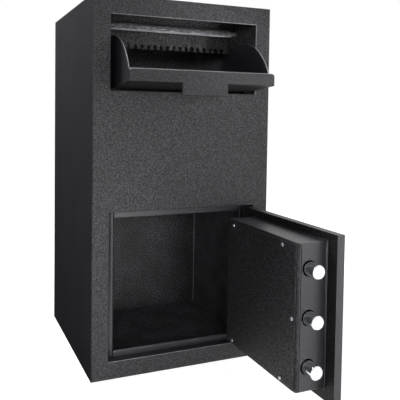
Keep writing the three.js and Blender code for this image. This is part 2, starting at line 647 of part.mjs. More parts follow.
// A shouldered hinge pin: seated in the plate, with a collar in the notch and a journal in the frame
function hingePin(seatEnd, notch, frame, journalEnd) {
  const profile = [
    [0, seatEnd],
    [PIN_RADIUS, seatEnd],
    [PIN_RADIUS, notch],
    [PIN_COLLAR_RADIUS, notch],
    [PIN_COLLAR_RADIUS, frame],
    [PIN_RADIUS, frame],
    [PIN_RADIUS, journalEnd],
    [0, journalEnd],
  ];
  return turned(seatEnd < journalEnd ? profile : profile.reverse(), 'z', [0, 0], SMALL_ROUND_SIDES);
}

function hingePins() {
  const notchTop = DOOR_TOP - NOTCH_HEIGHT;
  const notchBottom = DOOR_BOTTOM + NOTCH_HEIGHT;
  const upperFrame = DOOR_OPENING_TOP - FIT_GAP;
  const lowerFrame = DOOR_OPENING_BOTTOM + FIT_GAP;
  const upper = hingePin(
    notchTop - PIN_SEAT_LENGTH,
    notchTop + FIT_GAP,
    upperFrame,
    upperFrame + PIN_SOCKET_LENGTH,
  );
  const lower = hingePin(
    notchBottom + PIN_SEAT_LENGTH,
    notchBottom - FIT_GAP,
    lowerFrame,
    lowerFrame - PIN_SOCKET_LENGTH,
  );
  return [piece('hinge_pin_upper', upper, SATIN_PAINT), piece('hinge_pin_lower', lower, SATIN_PAINT)];
}

// Where the five screws hold the cover, in x and z
function coverScrewPlaces() {
  const near = COVER_FREE_END + SCREW_FROM_FREE_END;
  const far = COVER_HINGE_END - SCREW_FROM_HINGE_END;
  const high = COVER_TOP - SCREW_FROM_COVER_END;
  const low = COVER_BOTTOM + SCREW_FROM_COVER_END;
  const middle = [COVER_FREE_END + SCREW_FROM_COVER_SIDE, DOOR_MIDDLE + SCREW_ABOVE_MIDDLE];
  return [[near, high], [far, high], middle, [near, low], [far, low]];
}

// Bolt box: a pan with a return flange that carries the cover, and holes for the bolts
function boltBox() {
  const across = [BOX_FREE_END, BOX_HINGE_END];
  const heights = [BOX_BOTTOM, BOX_TOP];
  const inset = ([low, high], by) => [low + by, high - by];
  const start = INNER_FACE + FIT_GAP;
  const insideEnd = BOX_INNER_FACE - BOX_SHEET;
  const outer = roundedRectangle(across, heights, BOX_CORNER_RADIUS);
  const drill = [BOX_FREE_END - CUT_OVERRUN, BOX_FREE_END + BOX_SHEET + CUT_OVERRUN];
  const face = [insideEnd - CUT_OVERRUN, BOX_INNER_FACE + CUT_OVERRUN];
  const screwHole = (at) => cylinder(SCREW_SHANK_RADIUS + FIT_GAP, 'y', face, at, SMALL_ROUND_SIDES);
  return cut(
    extruded(outer, 'y', [start, BOX_INNER_FACE], CORNER_SEGMENTS),
    block(inset(across, BOX_SHEET), [start - CUT_OVERRUN, insideEnd], inset(heights, BOX_SHEET)),
    block(inset(across, BOX_FLANGE), face, inset(heights, BOX_FLANGE)),
    ...BOLT_HEIGHTS.map((z) => cylinder(BOLT_RADIUS + BOLT_HOLE_CLEARANCE, 'x', drill, [BOLT_Y, z])),
    ...coverScrewPlaces().map(screwHole),
  );
}

function lockCover() {
  const across = [COVER_FREE_END, COVER_HINGE_END];
  const start = BOX_INNER_FACE + FIT_GAP;
  const drill = [start - CUT_OVERRUN, COVER_FACE + CUT_OVERRUN];
  const shape = roundedRectangle(across, [COVER_BOTTOM, COVER_TOP], COVER_CORNER_RADIUS);
  const screwHole = (at) => cylinder(SCREW_SHANK_RADIUS + FIT_GAP, 'y', drill, at, SMALL_ROUND_SIDES);
  return cut(
    extruded(shape, 'y', [start, COVER_FACE], CORNER_SEGMENTS),
    ...coverScrewPlaces().map(screwHole),
  );
}

function coverScrew(place) {
  const seat = COVER_FACE + FIT_GAP;
  const profile = [
    [0, seat - SCREW_SHANK_LENGTH],
    [SCREW_SHANK_RADIUS, seat - SCREW_SHANK_LENGTH],
    [SCREW_SHANK_RADIUS, seat],
    [SCREW_HEAD_RADIUS, seat],
    [SCREW_HEAD_RADIUS, seat + SCREW_HEAD_HEIGHT / 2],
    [SCREW_CROWN_RADIUS, seat + SCREW_HEAD_HEIGHT],
    [0, seat + SCREW_HEAD_HEIGHT],
  ];
  return turned(profile, 'y', place, SMALL_ROUND_SIDES);
}

// Boltwork: three bolts riveted to a folded carrier that slides on two studs
function bolt(height) {
  const shoulder = CARRIER_X - FIT_GAP;
  const head = CARRIER_X + CARRIER_SHEET + FIT_GAP;
  const tip = BOX_FREE_END - BOLT_THROW;
  const profile = [
    [0, tip],
    [BOLT_RADIUS - BOLT_EDGE, tip],
    [BOLT_RADIUS, tip + BOLT_EDGE],
    [BOLT_RADIUS, shoulder],
    [RIVET_NECK_RADIUS, shoulder],
    [RIVET_NECK_RADIUS, head],
    [RIVET_HEAD_RADIUS, head],
    [RIVET_HEAD_RADIUS, head + RIVET_HEAD_HEIGHT],
    [0, head + RIVET_HEAD_HEIGHT],
  ];
  return turned(profile, 'x', [BOLT_Y, height]);
}

function slot(centreX, centreZ, halfLength, halfHeight, depth) {
  const across = [centreX - halfLength, centreX + halfLength];
  return block(across, depth, [centreZ - halfHeight, centreZ + halfHeight]);
}

// The carrier: a flange across the bolts, a plate with its slots, and a tail beside the lock's bolt
function boltCarrier() {
  const back = CARRIER_Y + CARRIER_SHEET;
  const depth = [CARRIER_Y, back];
  const halfSlot = STUD_RADIUS + SLOT_CLEARANCE;
  const halfFlange = BOLT_PITCH + CARRIER_PAST_BOLT;
  const plateEnd = STUD_X + halfSlot + CARRIER_RIM;
  const plateHeights = [STUD_HEIGHTS[0] - halfSlot - CARRIER_RIM, STUD_HEIGHTS[1] + halfSlot + CARRIER_RIM];
  const tailEnd = LOCK_MIDDLE_X - LOCK_BOLT_WIDTH / 2 - TAIL_FROM_LOCK_BOLT;
  const tailTop = LOCK_BOTTOM - TAIL_BELOW_LOCK;
  const body = joined(
    block(
      [CARRIER_X, CARRIER_X + CARRIER_SHEET],
      [CARRIER_Y, CARRIER_Y + CARRIER_FLANGE_REACH],
      [BOLT_MIDDLE - halfFlange, BOLT_MIDDLE + halfFlange],
    ),
    block([CARRIER_X, plateEnd], depth, plateHeights),
    block([plateEnd - CARRIER_RIM, tailEnd], depth, [tailTop - TAIL_HEIGHT, tailTop]),
  );
  const through = [CARRIER_Y - CUT_OVERRUN, back + CUT_OVERRUN];
  const drill = [CARRIER_X - CUT_OVERRUN, CARRIER_X + CARRIER_SHEET + CUT_OVERRUN];
  const guides = STUD_HEIGHTS.map((z) =>
    slot(STUD_X - BOLT_TRAVEL / 2, z, BOLT_TRAVEL / 2 + halfSlot, halfSlot, through));
  const lean = radians(CAM_LEAN_DEGREES);
  const pinLow = CAM_ARM * Math.cos(lean);
  const camHalf = CAM_PIN_RADIUS + SLOT_CLEARANCE;
  const camX = HANDLE_X - CAM_ARM * Math.sin(lean);
  const camZ = HANDLE_Z + (pinLow + CAM_ARM) / 2;
  const rivetHole = (z) => cylinder(RIVET_NECK_RADIUS + FIT_GAP, 'x', drill, [BOLT_Y, z], SMALL_ROUND_SIDES);
  return cut(
    body,
    ...guides,
    slot(camX, camZ, camHalf, (CAM_ARM - pinLow) / 2 + camHalf, through),
    ...BOLT_HEIGHTS.map(rivetHole),
  );
}

function guideStud(height) {
  const shoulder = CARRIER_Y - FIT_GAP;
  const head = CARRIER_Y + CARRIER_SHEET + FIT_GAP;
  const profile = [
    [0, INNER_FACE + FIT_GAP],
    [STUD_HEAD_RADIUS, INNER_FACE + FIT_GAP],
    [STUD_HEAD_RADIUS, shoulder],
    [STUD_RADIUS, shoulder],
    [STUD_RADIUS, head],
    [STUD_HEAD_RADIUS, head],
    [STUD_HEAD_RADIUS, head + STUD_HEAD_HEIGHT],
    [0, head + STUD_HEAD_HEIGHT],
  ];
  return turned(profile, 'y', [STUD_X, height], SMALL_ROUND_SIDES);
}

// Handle: a lever on a hub, its rose, the spindle through the door and the cam that drives the carrier
function lever() {
  const end = HUB_START - HUB_LENGTH;
  const half = LEVER_WIDTH / 2;
  const quarter = Math.PI / 2;
  const shape = new THREE.Shape();
  shape.absarc(HANDLE_X, HANDLE_Z, half, quarter, 3 * quarter);
  shape.absarc(HANDLE_X + LEVER_LENGTH, HANDLE_Z, half, -quarter, quarter);
  const arm = extruded(shape, 'y', [end, end + LEVER_THICKNESS], CORNER_SEGMENTS * 2);
  const place = [HANDLE_X, HANDLE_Z];
  const bore = [HUB_START - HUB_BORE_DEPTH, HUB_START + CUT_OVERRUN];
  return cut(
    joined(cylinder(HUB_RADIUS, 'y', [end, HUB_START], place), arm),
    cylinder(SPINDLE_RADIUS + FIT_GAP, 'y', bore, place, SMALL_ROUND_SIDES),
  );
}

function boltCam() {
  const lean = radians(CAM_LEAN_DEGREES);
  const pin = [HANDLE_X - CAM_ARM * Math.sin(lean), HANDLE_Z + CAM_ARM * Math.cos(lean)];
  const [across, up] = [CAM_END_RADIUS * Math.cos(lean), CAM_END_RADIUS * Math.sin(lean)];
  const arm = polygon([
    [HANDLE_X - across, HANDLE_Z - up],
    [HANDLE_X + across, HANDLE_Z + up],
    [pin[0] + across, pin[1] + up],
    [pin[0] - across, pin[1] - up],
  ]);
  const depth = [CAM_Y, CAM_Y + CAM_THICKNESS];
  const through = [CAM_Y - CUT_OVERRUN, CAM_Y + CAM_THICKNESS + CUT_OVERRUN];
  const pinEnd = CARRIER_Y + CARRIER_SHEET + CAM_PIN_PAST_CARRIER;
  const place = [HANDLE_X, HANDLE_Z];
  return cut(
    joined(
      extruded(arm, 'y', depth),
      cylinder(CAM_HUB_RADIUS, 'y', depth, place, SMALL_ROUND_SIDES),
      cylinder(CAM_END_RADIUS, 'y', depth, pin, SMALL_ROUND_SIDES),
      cylinder(CAM_PIN_RADIUS, 'y', [CAM_Y + CUT_OVERRUN, pinEnd], pin, SMALL_ROUND_SIDES),
    ),
    cylinder(SPINDLE_RADIUS + FIT_GAP, 'y', through, place),
  );
}

function handlePieces() {
  const place = [HANDLE_X, HANDLE_Z];
  const roseDepth = [OUTER_FACE - FIT_GAP - ROSE_HEIGHT, OUTER_FACE - FIT_GAP];
  const roseBore = [roseDepth[0] - CUT_OVERRUN, roseDepth[1] + CUT_OVERRUN];
  const spindle = [HUB_START - HUB_BORE_DEPTH + FIT_GAP, CAM_Y + CAM_THICKNESS + SPINDLE_TAIL];
  const rose = cut(
    cylinder(ROSE_RADIUS, 'y', roseDepth, place),
    cylinder(SPINDLE_RADIUS + FIT_GAP, 'y', roseBore, place),
  );
  return [
    piece('handle_rose', rose, CHROME),
    piece('handle_lever', lever(), CHROME),
    piece('spindle', cylinder(SPINDLE_RADIUS, 'y', spindle, place, SMALL_ROUND_SIDES), STEEL),
    piece('bolt_cam', boltCam(), ZINC),
  ];
}

// Electronic lock: a cast body with a small bolt that drops behind the carrier's tail
function lockPieces() {
  const across = [-LOCK_FROM_AXIS - LOCK_WIDTH, -LOCK_FROM_AXIS];
  const middleY = CARRIER_Y + CARRIER_SHEET / 2;
  const boltSpan = (half, clearance) => [-half - clearance, half + clearance];
  const at = (middle, span) => span.map((value) => middle + value);
  const boltBottom = LOCK_BOTTOM - LOCK_BOLT_PROUD;
  const pocketTop = boltBottom + LOCK_BOLT_LENGTH + FIT_GAP;
  const back = INNER_FACE + FIT_GAP;
  const body = cut(
    block(across, [back, back + LOCK_DEPTH], [LOCK_BOTTOM, LOCK_BOTTOM + LOCK_HEIGHT]),
    block(
      at(LOCK_MIDDLE_X, boltSpan(LOCK_BOLT_WIDTH / 2, FIT_GAP)),
      at(middleY, boltSpan(LOCK_BOLT_THICKNESS / 2, FIT_GAP)),
      [LOCK_BOTTOM - CUT_OVERRUN, pocketTop],
    ),
  );
  const lockBolt = block(
    at(LOCK_MIDDLE_X, boltSpan(LOCK_BOLT_WIDTH / 2, 0)),
    at(middleY, boltSpan(LOCK_BOLT_THICKNESS / 2, 0)),
    [boltBottom, boltBottom + LOCK_BOLT_LENGTH],
  );
  return [piece('lock_body', body, ZINC), piece('lock_bolt', lockBolt, STEEL)];
}

// Middle of each key, in x and z, by its name
function keyPlaces() {
  const places = [];
  KEY_ROWS.forEach((row, down) => {
    row.forEach((name, across) => {
      const fromMiddleX = across - (row.length - 1) / 2;
      const fromMiddleZ = (KEY_ROWS.length - 1) / 2 - down;
      const x = fromMiddleX * KEY_PITCH_ACROSS - KEYPAD_FROM_AXIS;
      const z = KEYPAD_Z - KEYS_BELOW_MIDDLE + fromMiddleZ * KEY_PITCH_DOWN;
      places.push({ name, x, z });
    });
  });
  return places;
}

function centred(x, z, width, height, depth) {
  return block([x - width / 2, x + width / 2], depth, [z - height / 2, z + height / 2]);
}

// Keypad: an open-backed housing, its board and twelve keys held in by their lips
function keypadPieces() {
  const [x, z] = [-KEYPAD_FROM_AXIS, KEYPAD_Z];
  const across = [x - KEYPAD_WIDTH / 2, x + KEYPAD_WIDTH / 2];
  const heights = [z - KEYPAD_HEIGHT / 2, z + KEYPAD_HEIGHT / 2];
  const insideWidth = KEYPAD_WIDTH - 2 * KEYPAD_WALL;
  const insideHeight = KEYPAD_HEIGHT - 2 * KEYPAD_WALL;
  const face = [KEYPAD_FRONT - CUT_OVERRUN, KEYPAD_INNER + CUT_OVERRUN];
  const holeWidth = KEY_WIDTH + 2 * KEY_SIDE_CLEARANCE;
  const holeHeight = KEY_HEIGHT + 2 * KEY_SIDE_CLEARANCE;
  const shape = roundedRectangle(across, heights, KEYPAD_CORNER_RADIUS);
  const housing = cut(
    extruded(shape, 'y', [KEYPAD_FRONT, OUTER_FACE - FIT_GAP], CORNER_SEGMENTS),
    centred(x, z, insideWidth, insideHeight, [KEYPAD_INNER, OUTER_FACE + CUT_OVERRUN]),
    ...keyPlaces().map((key) => centred(key.x, key.z, holeWidth, holeHeight, face)),
  );
  const boardDepth = [BOARD_FACE, BOARD_FACE + BOARD_SHEET];
  const board = centred(x, z, insideWidth - 2 * FIT_GAP, insideHeight - 2 * FIT_GAP, boardDepth);
  const lipDepth = [KEYPAD_INNER + FIT_GAP, KEY_LIP_BACK];
  const keys = keyPlaces().map((key) => {
    const cap = centred(key.x, key.z, KEY_WIDTH, KEY_HEIGHT, [KEYPAD_FRONT - KEY_PROUD, KEY_LIP_BACK]);
    const lip = centred(key.x, key.z, KEY_WIDTH + 2 * KEY_LIP, KEY_HEIGHT + 2 * KEY_LIP, lipDepth);
    return piece(`key_${key.name}`, joined(cap, lip), KEY_PLASTIC);
  });
  return [
    piece('keypad_housing', housing, BLACK_PLASTIC),
    piece('keypad_board', board, CIRCUIT_BOARD),
    ...keys,
  ];
}

// The door and all that rides on it, swung a quarter turn open about its hinge axis
function door() {
  const group = new THREE.Group();
  group.position.set(HINGE_X, HINGE_FROM_FRONT, 0);
  group.rotation.z = Math.PI / 2;
  const boltNames = ['bolt_lower', 'bolt_middle', 'bolt_upper'];
  group.add(
    piece('door_plate', doorPlate(), POWDER_COAT),
    ...hingePins(),
    piece('bolt_box', boltBox(), SATIN_PAINT),
    piece('lock_cover', lockCover(), POWDER_COAT),
    ...coverScrewPlaces().map((at, index) => piece(`cover_screw_${index + 1}`, coverScrew(at), ZINC)),
    ...boltNames.map((name, index) => piece(name, bolt(BOLT_HEIGHTS[index]), CHROME)),
    piece('bolt_carrier', boltCarrier(), ZINC),
    piece('guide_stud_lower', guideStud(STUD_HEIGHTS[0]), ZINC),
    piece('guide_stud_upper', guideStud(STUD_HEIGHTS[1]), ZINC),
    ...handlePieces(),
    ...lockPieces(),
    ...keypadPieces(),
  );
  return group;
}

const safe = new THREE.Group();
safe.position.y = -CABINET_DEPTH / 2;
safe.add(...cabinetPlates(), ...doorFrame(), ...chute(), hopper(), door());

const part = new THREE.Group();
part.add(safe);

export default part;
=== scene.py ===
"""Finish, studio and camera of a drop safe with a tilting deposit hopper.

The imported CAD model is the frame. Each class below is a sub-assembly of the safe: it models what can
be seen of it over the CAD nodes, in metres in the frame's own axes, and gives every node its finish.
"""

import logging
import math
from collections.abc import Callable, Iterable
from dataclasses import dataclass
from enum import Enum

import bmesh
import bpy
from mathutils import Euler, Matrix, Vector


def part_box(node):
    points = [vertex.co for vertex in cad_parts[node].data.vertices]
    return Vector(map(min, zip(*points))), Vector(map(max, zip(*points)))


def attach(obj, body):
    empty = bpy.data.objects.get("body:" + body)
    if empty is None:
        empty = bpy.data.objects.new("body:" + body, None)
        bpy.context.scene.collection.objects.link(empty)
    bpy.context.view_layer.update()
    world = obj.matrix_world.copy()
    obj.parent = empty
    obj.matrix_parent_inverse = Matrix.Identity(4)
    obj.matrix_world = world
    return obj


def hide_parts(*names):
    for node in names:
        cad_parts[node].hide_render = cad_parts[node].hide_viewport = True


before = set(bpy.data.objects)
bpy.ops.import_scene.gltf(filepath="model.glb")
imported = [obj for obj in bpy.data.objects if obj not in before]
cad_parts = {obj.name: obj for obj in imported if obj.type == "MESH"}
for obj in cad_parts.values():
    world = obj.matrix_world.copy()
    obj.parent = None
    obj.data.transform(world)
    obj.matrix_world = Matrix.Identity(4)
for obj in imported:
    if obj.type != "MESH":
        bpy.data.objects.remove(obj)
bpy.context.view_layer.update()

log = logging.getLogger("drop_safe")

# One millimetre, and a small step off a face, for cuts and tests
MM = 0.001
STEP = 1.0 * MM
# When two points count as one, two edges as lying at one place, and which edges are sharp or none
MERGE_DISTANCE = 1e-6
SAME_PLACE = 0.05 * MM
SHARP_ANGLE = math.radians(32)
FLAT_ANGLE = math.radians(0.5)
# How far a face's normal must reach along an axis to lean that way, or to look straight along it
LEANING = 0.2
STRAIGHT = 0.9
# Sides of a weld bead, of a notch's head and of a bolt's hole
BEAD_SIDES = 12
HEAD_SIDES = 16
HOLE_SIDES = 40
# Where most of a noise's values lie, the smoothest roughness of all, and how wide a coat's clouds are
NOISE_SPAN = {"From Min": 0.3, "From Max": 0.7}
SMOOTHEST = 0.03
MOTTLE_WIDTH = 60 * MM
# The CAD nodes of the bolts, which the bolt box has holes for
BOLTS = ("bolt_lower", "bolt_middle", "bolt_upper")

Colour = tuple[float, float, float, float]
Face = bmesh.types.BMFace
Tree = bpy.types.NodeTree
Socket = bpy.types.NodeSocket
EdgeTest = Callable[[Vector, Vector], bool]


class Run(Enum):
    """How a surface's grain runs: how many times longer it is along x, y and z."""

    EVEN = (1.0, 1.0, 1.0)
    ALONG = (5.0, 1.0, 1.0)
    UPRIGHT = (1.0, 1.0, 7.0)
    TURNED_ON_Y = (30.0, 1.0, 30.0)


class Side(Enum):
    """The two sides of the safe, as signs on the x axis."""

    LEFT = -1
    RIGHT = 1


class Volume(Enum):
    """What becomes of a second shape's volume, by Blender's name for it."""

    REMOVED = "DIFFERENCE"
    KEPT = "INTERSECT"
    ADDED = "UNION"


def linear(code: int) -> Colour:
    """Turns an sRGB hex value to linear light.

    Args:
        code: the colour as 0xRRGGBB.

    Returns:
        Red, green, blue and alpha, each from 0 to 1.
    """
    channels = [((code >> shift) & 0xFF) / 255 for shift in (16, 8, 0)]
    red, green, blue = (c / 12.92 if c <= 0.04045 else ((c + 0.055) / 1.055) ** 2.4 for c in channels)
    return (red, green, blue, 1.0)


def add_node(tree: Tree, kind: str, inputs: dict | None = None, **settings) -> bpy.types.Node:
    """Adds one shader node with its settings, its values and its links.

    Args:
        tree: the material's or world's node tree.
        kind: the node's type name.
        inputs: a value, or a socket to link, for each named or numbered input.
        settings: the node's own properties.

    Returns:
        The new node.
    """
    node = tree.nodes.new(kind)
    for name, value in settings.items():
        setattr(node, name, value)
    for name, value in (inputs or {}).items():
        if isinstance(value, Socket):
            tree.links.new(value, node.inputs[name])
        else:
            node.inputs[name].default_value = value
    return node


def add_object(name: str, data: bpy.types.ID) -> bpy.types.Object:
    """Puts an object into the scene.

    Args:
        name: its name.
        data: its mesh, curve, lamp or camera.

    Returns:
        The object.
    """
    thing = bpy.data.objects.new(name, data)
    bpy.context.scene.collection.objects.link(thing)
    return thing


def bare_tree(owner: bpy.types.Material | bpy.types.World) -> Tree:
    """Gives a material or a world a node tree with no nodes.

    Args:
        owner: the material or the world.

    Returns:
        The tree.
    """
    owner.use_nodes = True
    owner.node_tree.nodes.clear()
    return owner.node_tree


@dataclass(frozen=True)
class Finish:
    """A surface finish that is built once as a material, under the finish's own name.

    Attributes:
        name: what a maker calls the finish.
        colour: its sRGB hex value in the hollows of its grain.
        roughness: mean roughness of its surface.
        specular: share of the usual mirror reflection, where 0.5 is usual.
        metallic: 1 for a bare metal.
        grain: width of one grain of its texture, in metres.
        relief: height of that texture, in metres.
        swing: how far the roughness varies with the grain.
        speckle: its sRGB hex value on the tops of the grain, or None where it is one colour.
        tops: from where to where in the grain's height the colour changes.
        mottle: share by which the colour varies over a hand's width.
        run: how the grain runs.
    """

    name: str
    colour: int
    roughness: float
    specular: float = 0.5
    metallic: float = 0.0
    grain: float = 3 * MM
    relief: float = 0.1 * MM
    swing: float = 0.1
    speckle: int | None = None
    tops: tuple[float, float] = (0.42, 0.62)
    mottle: float = 0.06
    run: Run = Run.EVEN

    def material(self) -> bpy.types.Material:
        """Gives the finish's material, made at the first call.

        Returns:
            The material.
        """
        known = bpy.data.materials.get(self.name)
        if known is not None:
            return known
        material = bpy.data.materials.new(self.name)
        tree = bare_tree(material)
        place = add_node(tree, "ShaderNodeTexCoord").outputs["Object"]
        grain = self.height(tree, place)
        hollow, top = self.roughness + self.swing, self.roughness - self.swing
        ends = {"To Min": min(1.0, hollow), "To Max": max(SMOOTHEST, top)}
        rough = add_node(tree, "ShaderNodeMapRange", {"Value": grain, **NOISE_SPAN, **ends})
        bump = add_node(tree, "ShaderNodeBump", {"Height": grain, "Strength": 1.0, "Distance": self.relief})
        shader = add_node(tree, "ShaderNodeBsdfPrincipled", {
            "Base Color": self.tint(tree, place, grain),
            "Metallic": self.metallic,
            "Specular IOR Level": self.specular,
            "Roughness": rough.outputs["Result"],
            "Normal": bump.outputs["Normal"],
        })
        add_node(tree, "ShaderNodeOutputMaterial", {"Surface": shader.outputs["BSDF"]})
        return material

    def height(self, tree: Tree, place: Socket) -> Socket:
        """Builds the height of the finish's grain.

        Args:
            tree: the material's nodes.
            place: where on the object, in metres.

        Returns:
            A socket that runs from 0 in the hollows to 1 on the tops.
        """
        scale = tuple(1 / times for times in self.run.value)
        laid = add_node(tree, "ShaderNodeMapping", {"Vector": place, "Scale": scale}).outputs["Vector"]
        noise = {"Vector": laid, "Scale": 1 / self.grain, "Detail": 2.0, "Roughness": 0.6}
        return add_node(tree, "ShaderNodeTexNoise", noise).outputs["Fac"]

    def tint(self, tree: Tree, place: Socket, grain: Socket) -> Socket:
        """Builds the finish's colour: its grain's two shades under a slow variation.

        Args:
            tree: the material's nodes.
            place: where on the object, in metres.
            grain: the grain's height.

        Returns:
            The colour's socket.
        """
        low, high = self.tops
        steps = {"Value": grain, "From Min": low, "From Max": high}
        tops = add_node(tree, "ShaderNodeMapRange", steps, interpolation_type="SMOOTHSTEP").outputs["Result"]
        top_colour = self.colour if self.speckle is None else self.speckle
        shades = {0: tops, 6: linear(self.colour), 7: linear(top_colour)}
        speckled = add_node(tree, "ShaderNodeMix", shades, data_type="RGBA").outputs[2]
        cloud = {"Vector": place, "Scale": 1 / MOTTLE_WIDTH, "Detail": 1.0}
        slow = add_node(tree, "ShaderNodeTexNoise", cloud).outputs["Fac"]
        span = {"Value": slow, **NOISE_SPAN, "To Min": 1 - self.mottle, "To Max": 1 + self.mottle}
        level = add_node(tree, "ShaderNodeMapRange", span).outputs["Result"]
        mixed = {0: 1.0, 6: speckled, 7: level}
        return add_node(tree, "ShaderNodeMix", mixed, data_type="RGBA", blend_type="MULTIPLY").outputs[2]


# The powder coat's real grain is about 1 mm wide, and that of plastic, rubber, ink and plated metal is far
# finer. Each is drawn coarser below, as coarse as it needs to be to show.

# Black powder coat with a coarse texture, baked on steel: matt, with a sparkle on each grain.
TEXTURED_COAT = Finish(
    "textured_powder_coat", 0x0B0B0C, 0.5, specular=0.4, grain=1.9 * MM, relief=0.6 * MM, swing=0.15,
    speckle=0x48484D, tops=(0.44, 0.62),
)
# The same coat on the hopper's panel, where it is thinner: its grain is flatter and a little glossier.
HOPPER_COAT = Finish(
    "fine_textured_powder_coat", 0x121213, 0.45, specular=0.35, grain=1.9 * MM, relief=0.4 * MM, swing=0.1,
    speckle=0x323237,
)
# The same coat inside the body, greyer and with pale tops on its grain: a painted light.
INSIDE_PAINTED_LIGHT_COAT = Finish(
    "inside_powder_coat_painted_light", 0x151517, 0.55, specular=0.45, grain=2.3 * MM, relief=0.5 * MM, swing=0.15,
    speckle=0x717176, tops=(0.45, 0.66), mottle=0.3,
)
# The compartment's floor and inner sides: the same coat painted paler and flatter, a painted light.
PALE_PAINTED_LIGHT_COAT = Finish(
    "pale_powder_coat_painted_light", 0x4C4C50, 0.7, specular=0.3, grain=2.3 * MM, relief=0.3 * MM, swing=0.1,
    speckle=0x828288, tops=(0.4, 0.7), mottle=0.25,
)
# The side sheets' coat: fine and dead matt, so it takes only a soft gradient.
WALL_COAT = Finish(
    "matt_powder_coat", 0x29292C, 0.9, specular=0.04, grain=1.6 * MM, relief=0.1 * MM, swing=0.08,
    speckle=0x303033,
)
# The textured coat with a wider grain, on the cover plate and the toothed plate, and on the box's folds as a
# painted shade.
COVER_COAT = Finish(
    "cover_powder_coat", 0x080809, 0.55, specular=0.33, grain=2.8 * MM, relief=0.6 * MM, swing=0.15,
    speckle=0x3D3D41, tops=(0.44, 0.64),
)
# The same coat painted darker, a painted shade: on the door plate's inner face, the trough's inside,
# and the openings' rims that face away from the lamps.
SHADE_PAINTED_COAT = Finish(
    "painted_shade_powder_coat", 0x060607, 0.55, specular=0.25, grain=2.2 * MM, relief=0.4 * MM, swing=0.15,
    speckle=0x242427,
)
# Satin black coat on folded sheet: nearly smooth, so it takes soft gradients of the lamps.
SATIN_COAT = Finish(
    "satin_powder_coat", 0x1B1B20, 0.4, specular=0.75, grain=2.4 * MM, relief=0.1 * MM, swing=0.08,
    speckle=0x28282E, mottle=0.15,
)
# The thick plate's cut edge: ground, then coated thinly, so it is the smoothest and palest black.
EDGE_COAT = Finish(
    "ground_edge_coat", 0x222228, 0.45, specular=0.75, relief=0.05 * MM, swing=0.06, speckle=0x2D2D34,
    run=Run.UPRIGHT,
)
# A pale glossy grey on the openings' rims that face the lamps, on the sheets' edges and on the weld beads:
# a painted highlight that draws a bright line.
HIGHLIGHT_PAINTED_COAT = Finish(
    "painted_highlight_coat", 0x87878C, 0.3, specular=1.0, relief=0.05 * MM, speckle=0xA8A8AD,
)
# The rolled lip bar: a semi-gloss coat with a coarse sparkle, painted lighter than the black coat: a painted
# light.
LIP_PAINTED_LIGHT_COAT = Finish(
    "semi_gloss_lip_coat_painted_light", 0x4A4A4E, 0.28, specular=1.0, grain=1.8 * MM, relief=0.3 * MM, swing=0.12,
    speckle=0xC0C0C5, tops=(0.44, 0.66), run=Run.ALONG,
)
# Bright chrome plate on turned steel, with faint rings of the turning tool.
CHROME = Finish(
    "bright_chrome_plate", 0xE4E6EA, 0.12, metallic=1.0, grain=0.8 * MM, relief=0.004 * MM, swing=0.04,
    mottle=0.02, run=Run.TURNED_ON_Y,
)
# Bright zinc plate, passivated: paler and duller than chrome.
ZINC = Finish(
    "bright_zinc_plate", 0xB9BDC2, 0.32, metallic=1.0, grain=1.2 * MM, relief=0.01 * MM, swing=0.08,
)
# Turned steel of the lock's small bolt, oiled: grey, with a broad soft shine.
STEEL = Finish("oiled_turned_steel", 0x8A8C8F, 0.36, metallic=1.0, grain=0.9 * MM, relief=0.008 * MM)
# Die-cast zinc of the lock body, as cast: dull grey with a fine pebble.
CASTING = Finish("die_cast_zinc", 0x8F9296, 0.5, metallic=1.0, grain=1.5 * MM, relief=0.05 * MM)
# Moulded black ABS with a spark-eroded texture: an even low sheen.
ABS_BLACK = Finish("moulded_black_abs", 0x17181A, 0.5, grain=0.8 * MM, relief=0.03 * MM, speckle=0x202124)
# Moulded grey ABS of the keys, the same texture.
ABS_GREY = Finish("moulded_grey_abs", 0x4B4E53, 0.45, grain=0.8 * MM, relief=0.02 * MM, speckle=0x57595E)
# Printed white ink of the key figures: flat and matt.
KEY_INK = Finish("white_key_ink", 0xD9DBDD, 0.6, grain=0.5 * MM, relief=0.005 * MM, speckle=0xE4E5E6)
# Black nitrile rubber: dead matt.
RUBBER = Finish("black_nitrile_rubber", 0x121212, 0.85, specular=0.3, grain=0.9 * MM, relief=0.04 * MM)
# Green solder mask on glass laminate: glossy over a faint weave.
BOARD = Finish("green_solder_mask", 0x1C4A2B, 0.35, grain=1.5 * MM, relief=0.01 * MM, speckle=0x245B36)


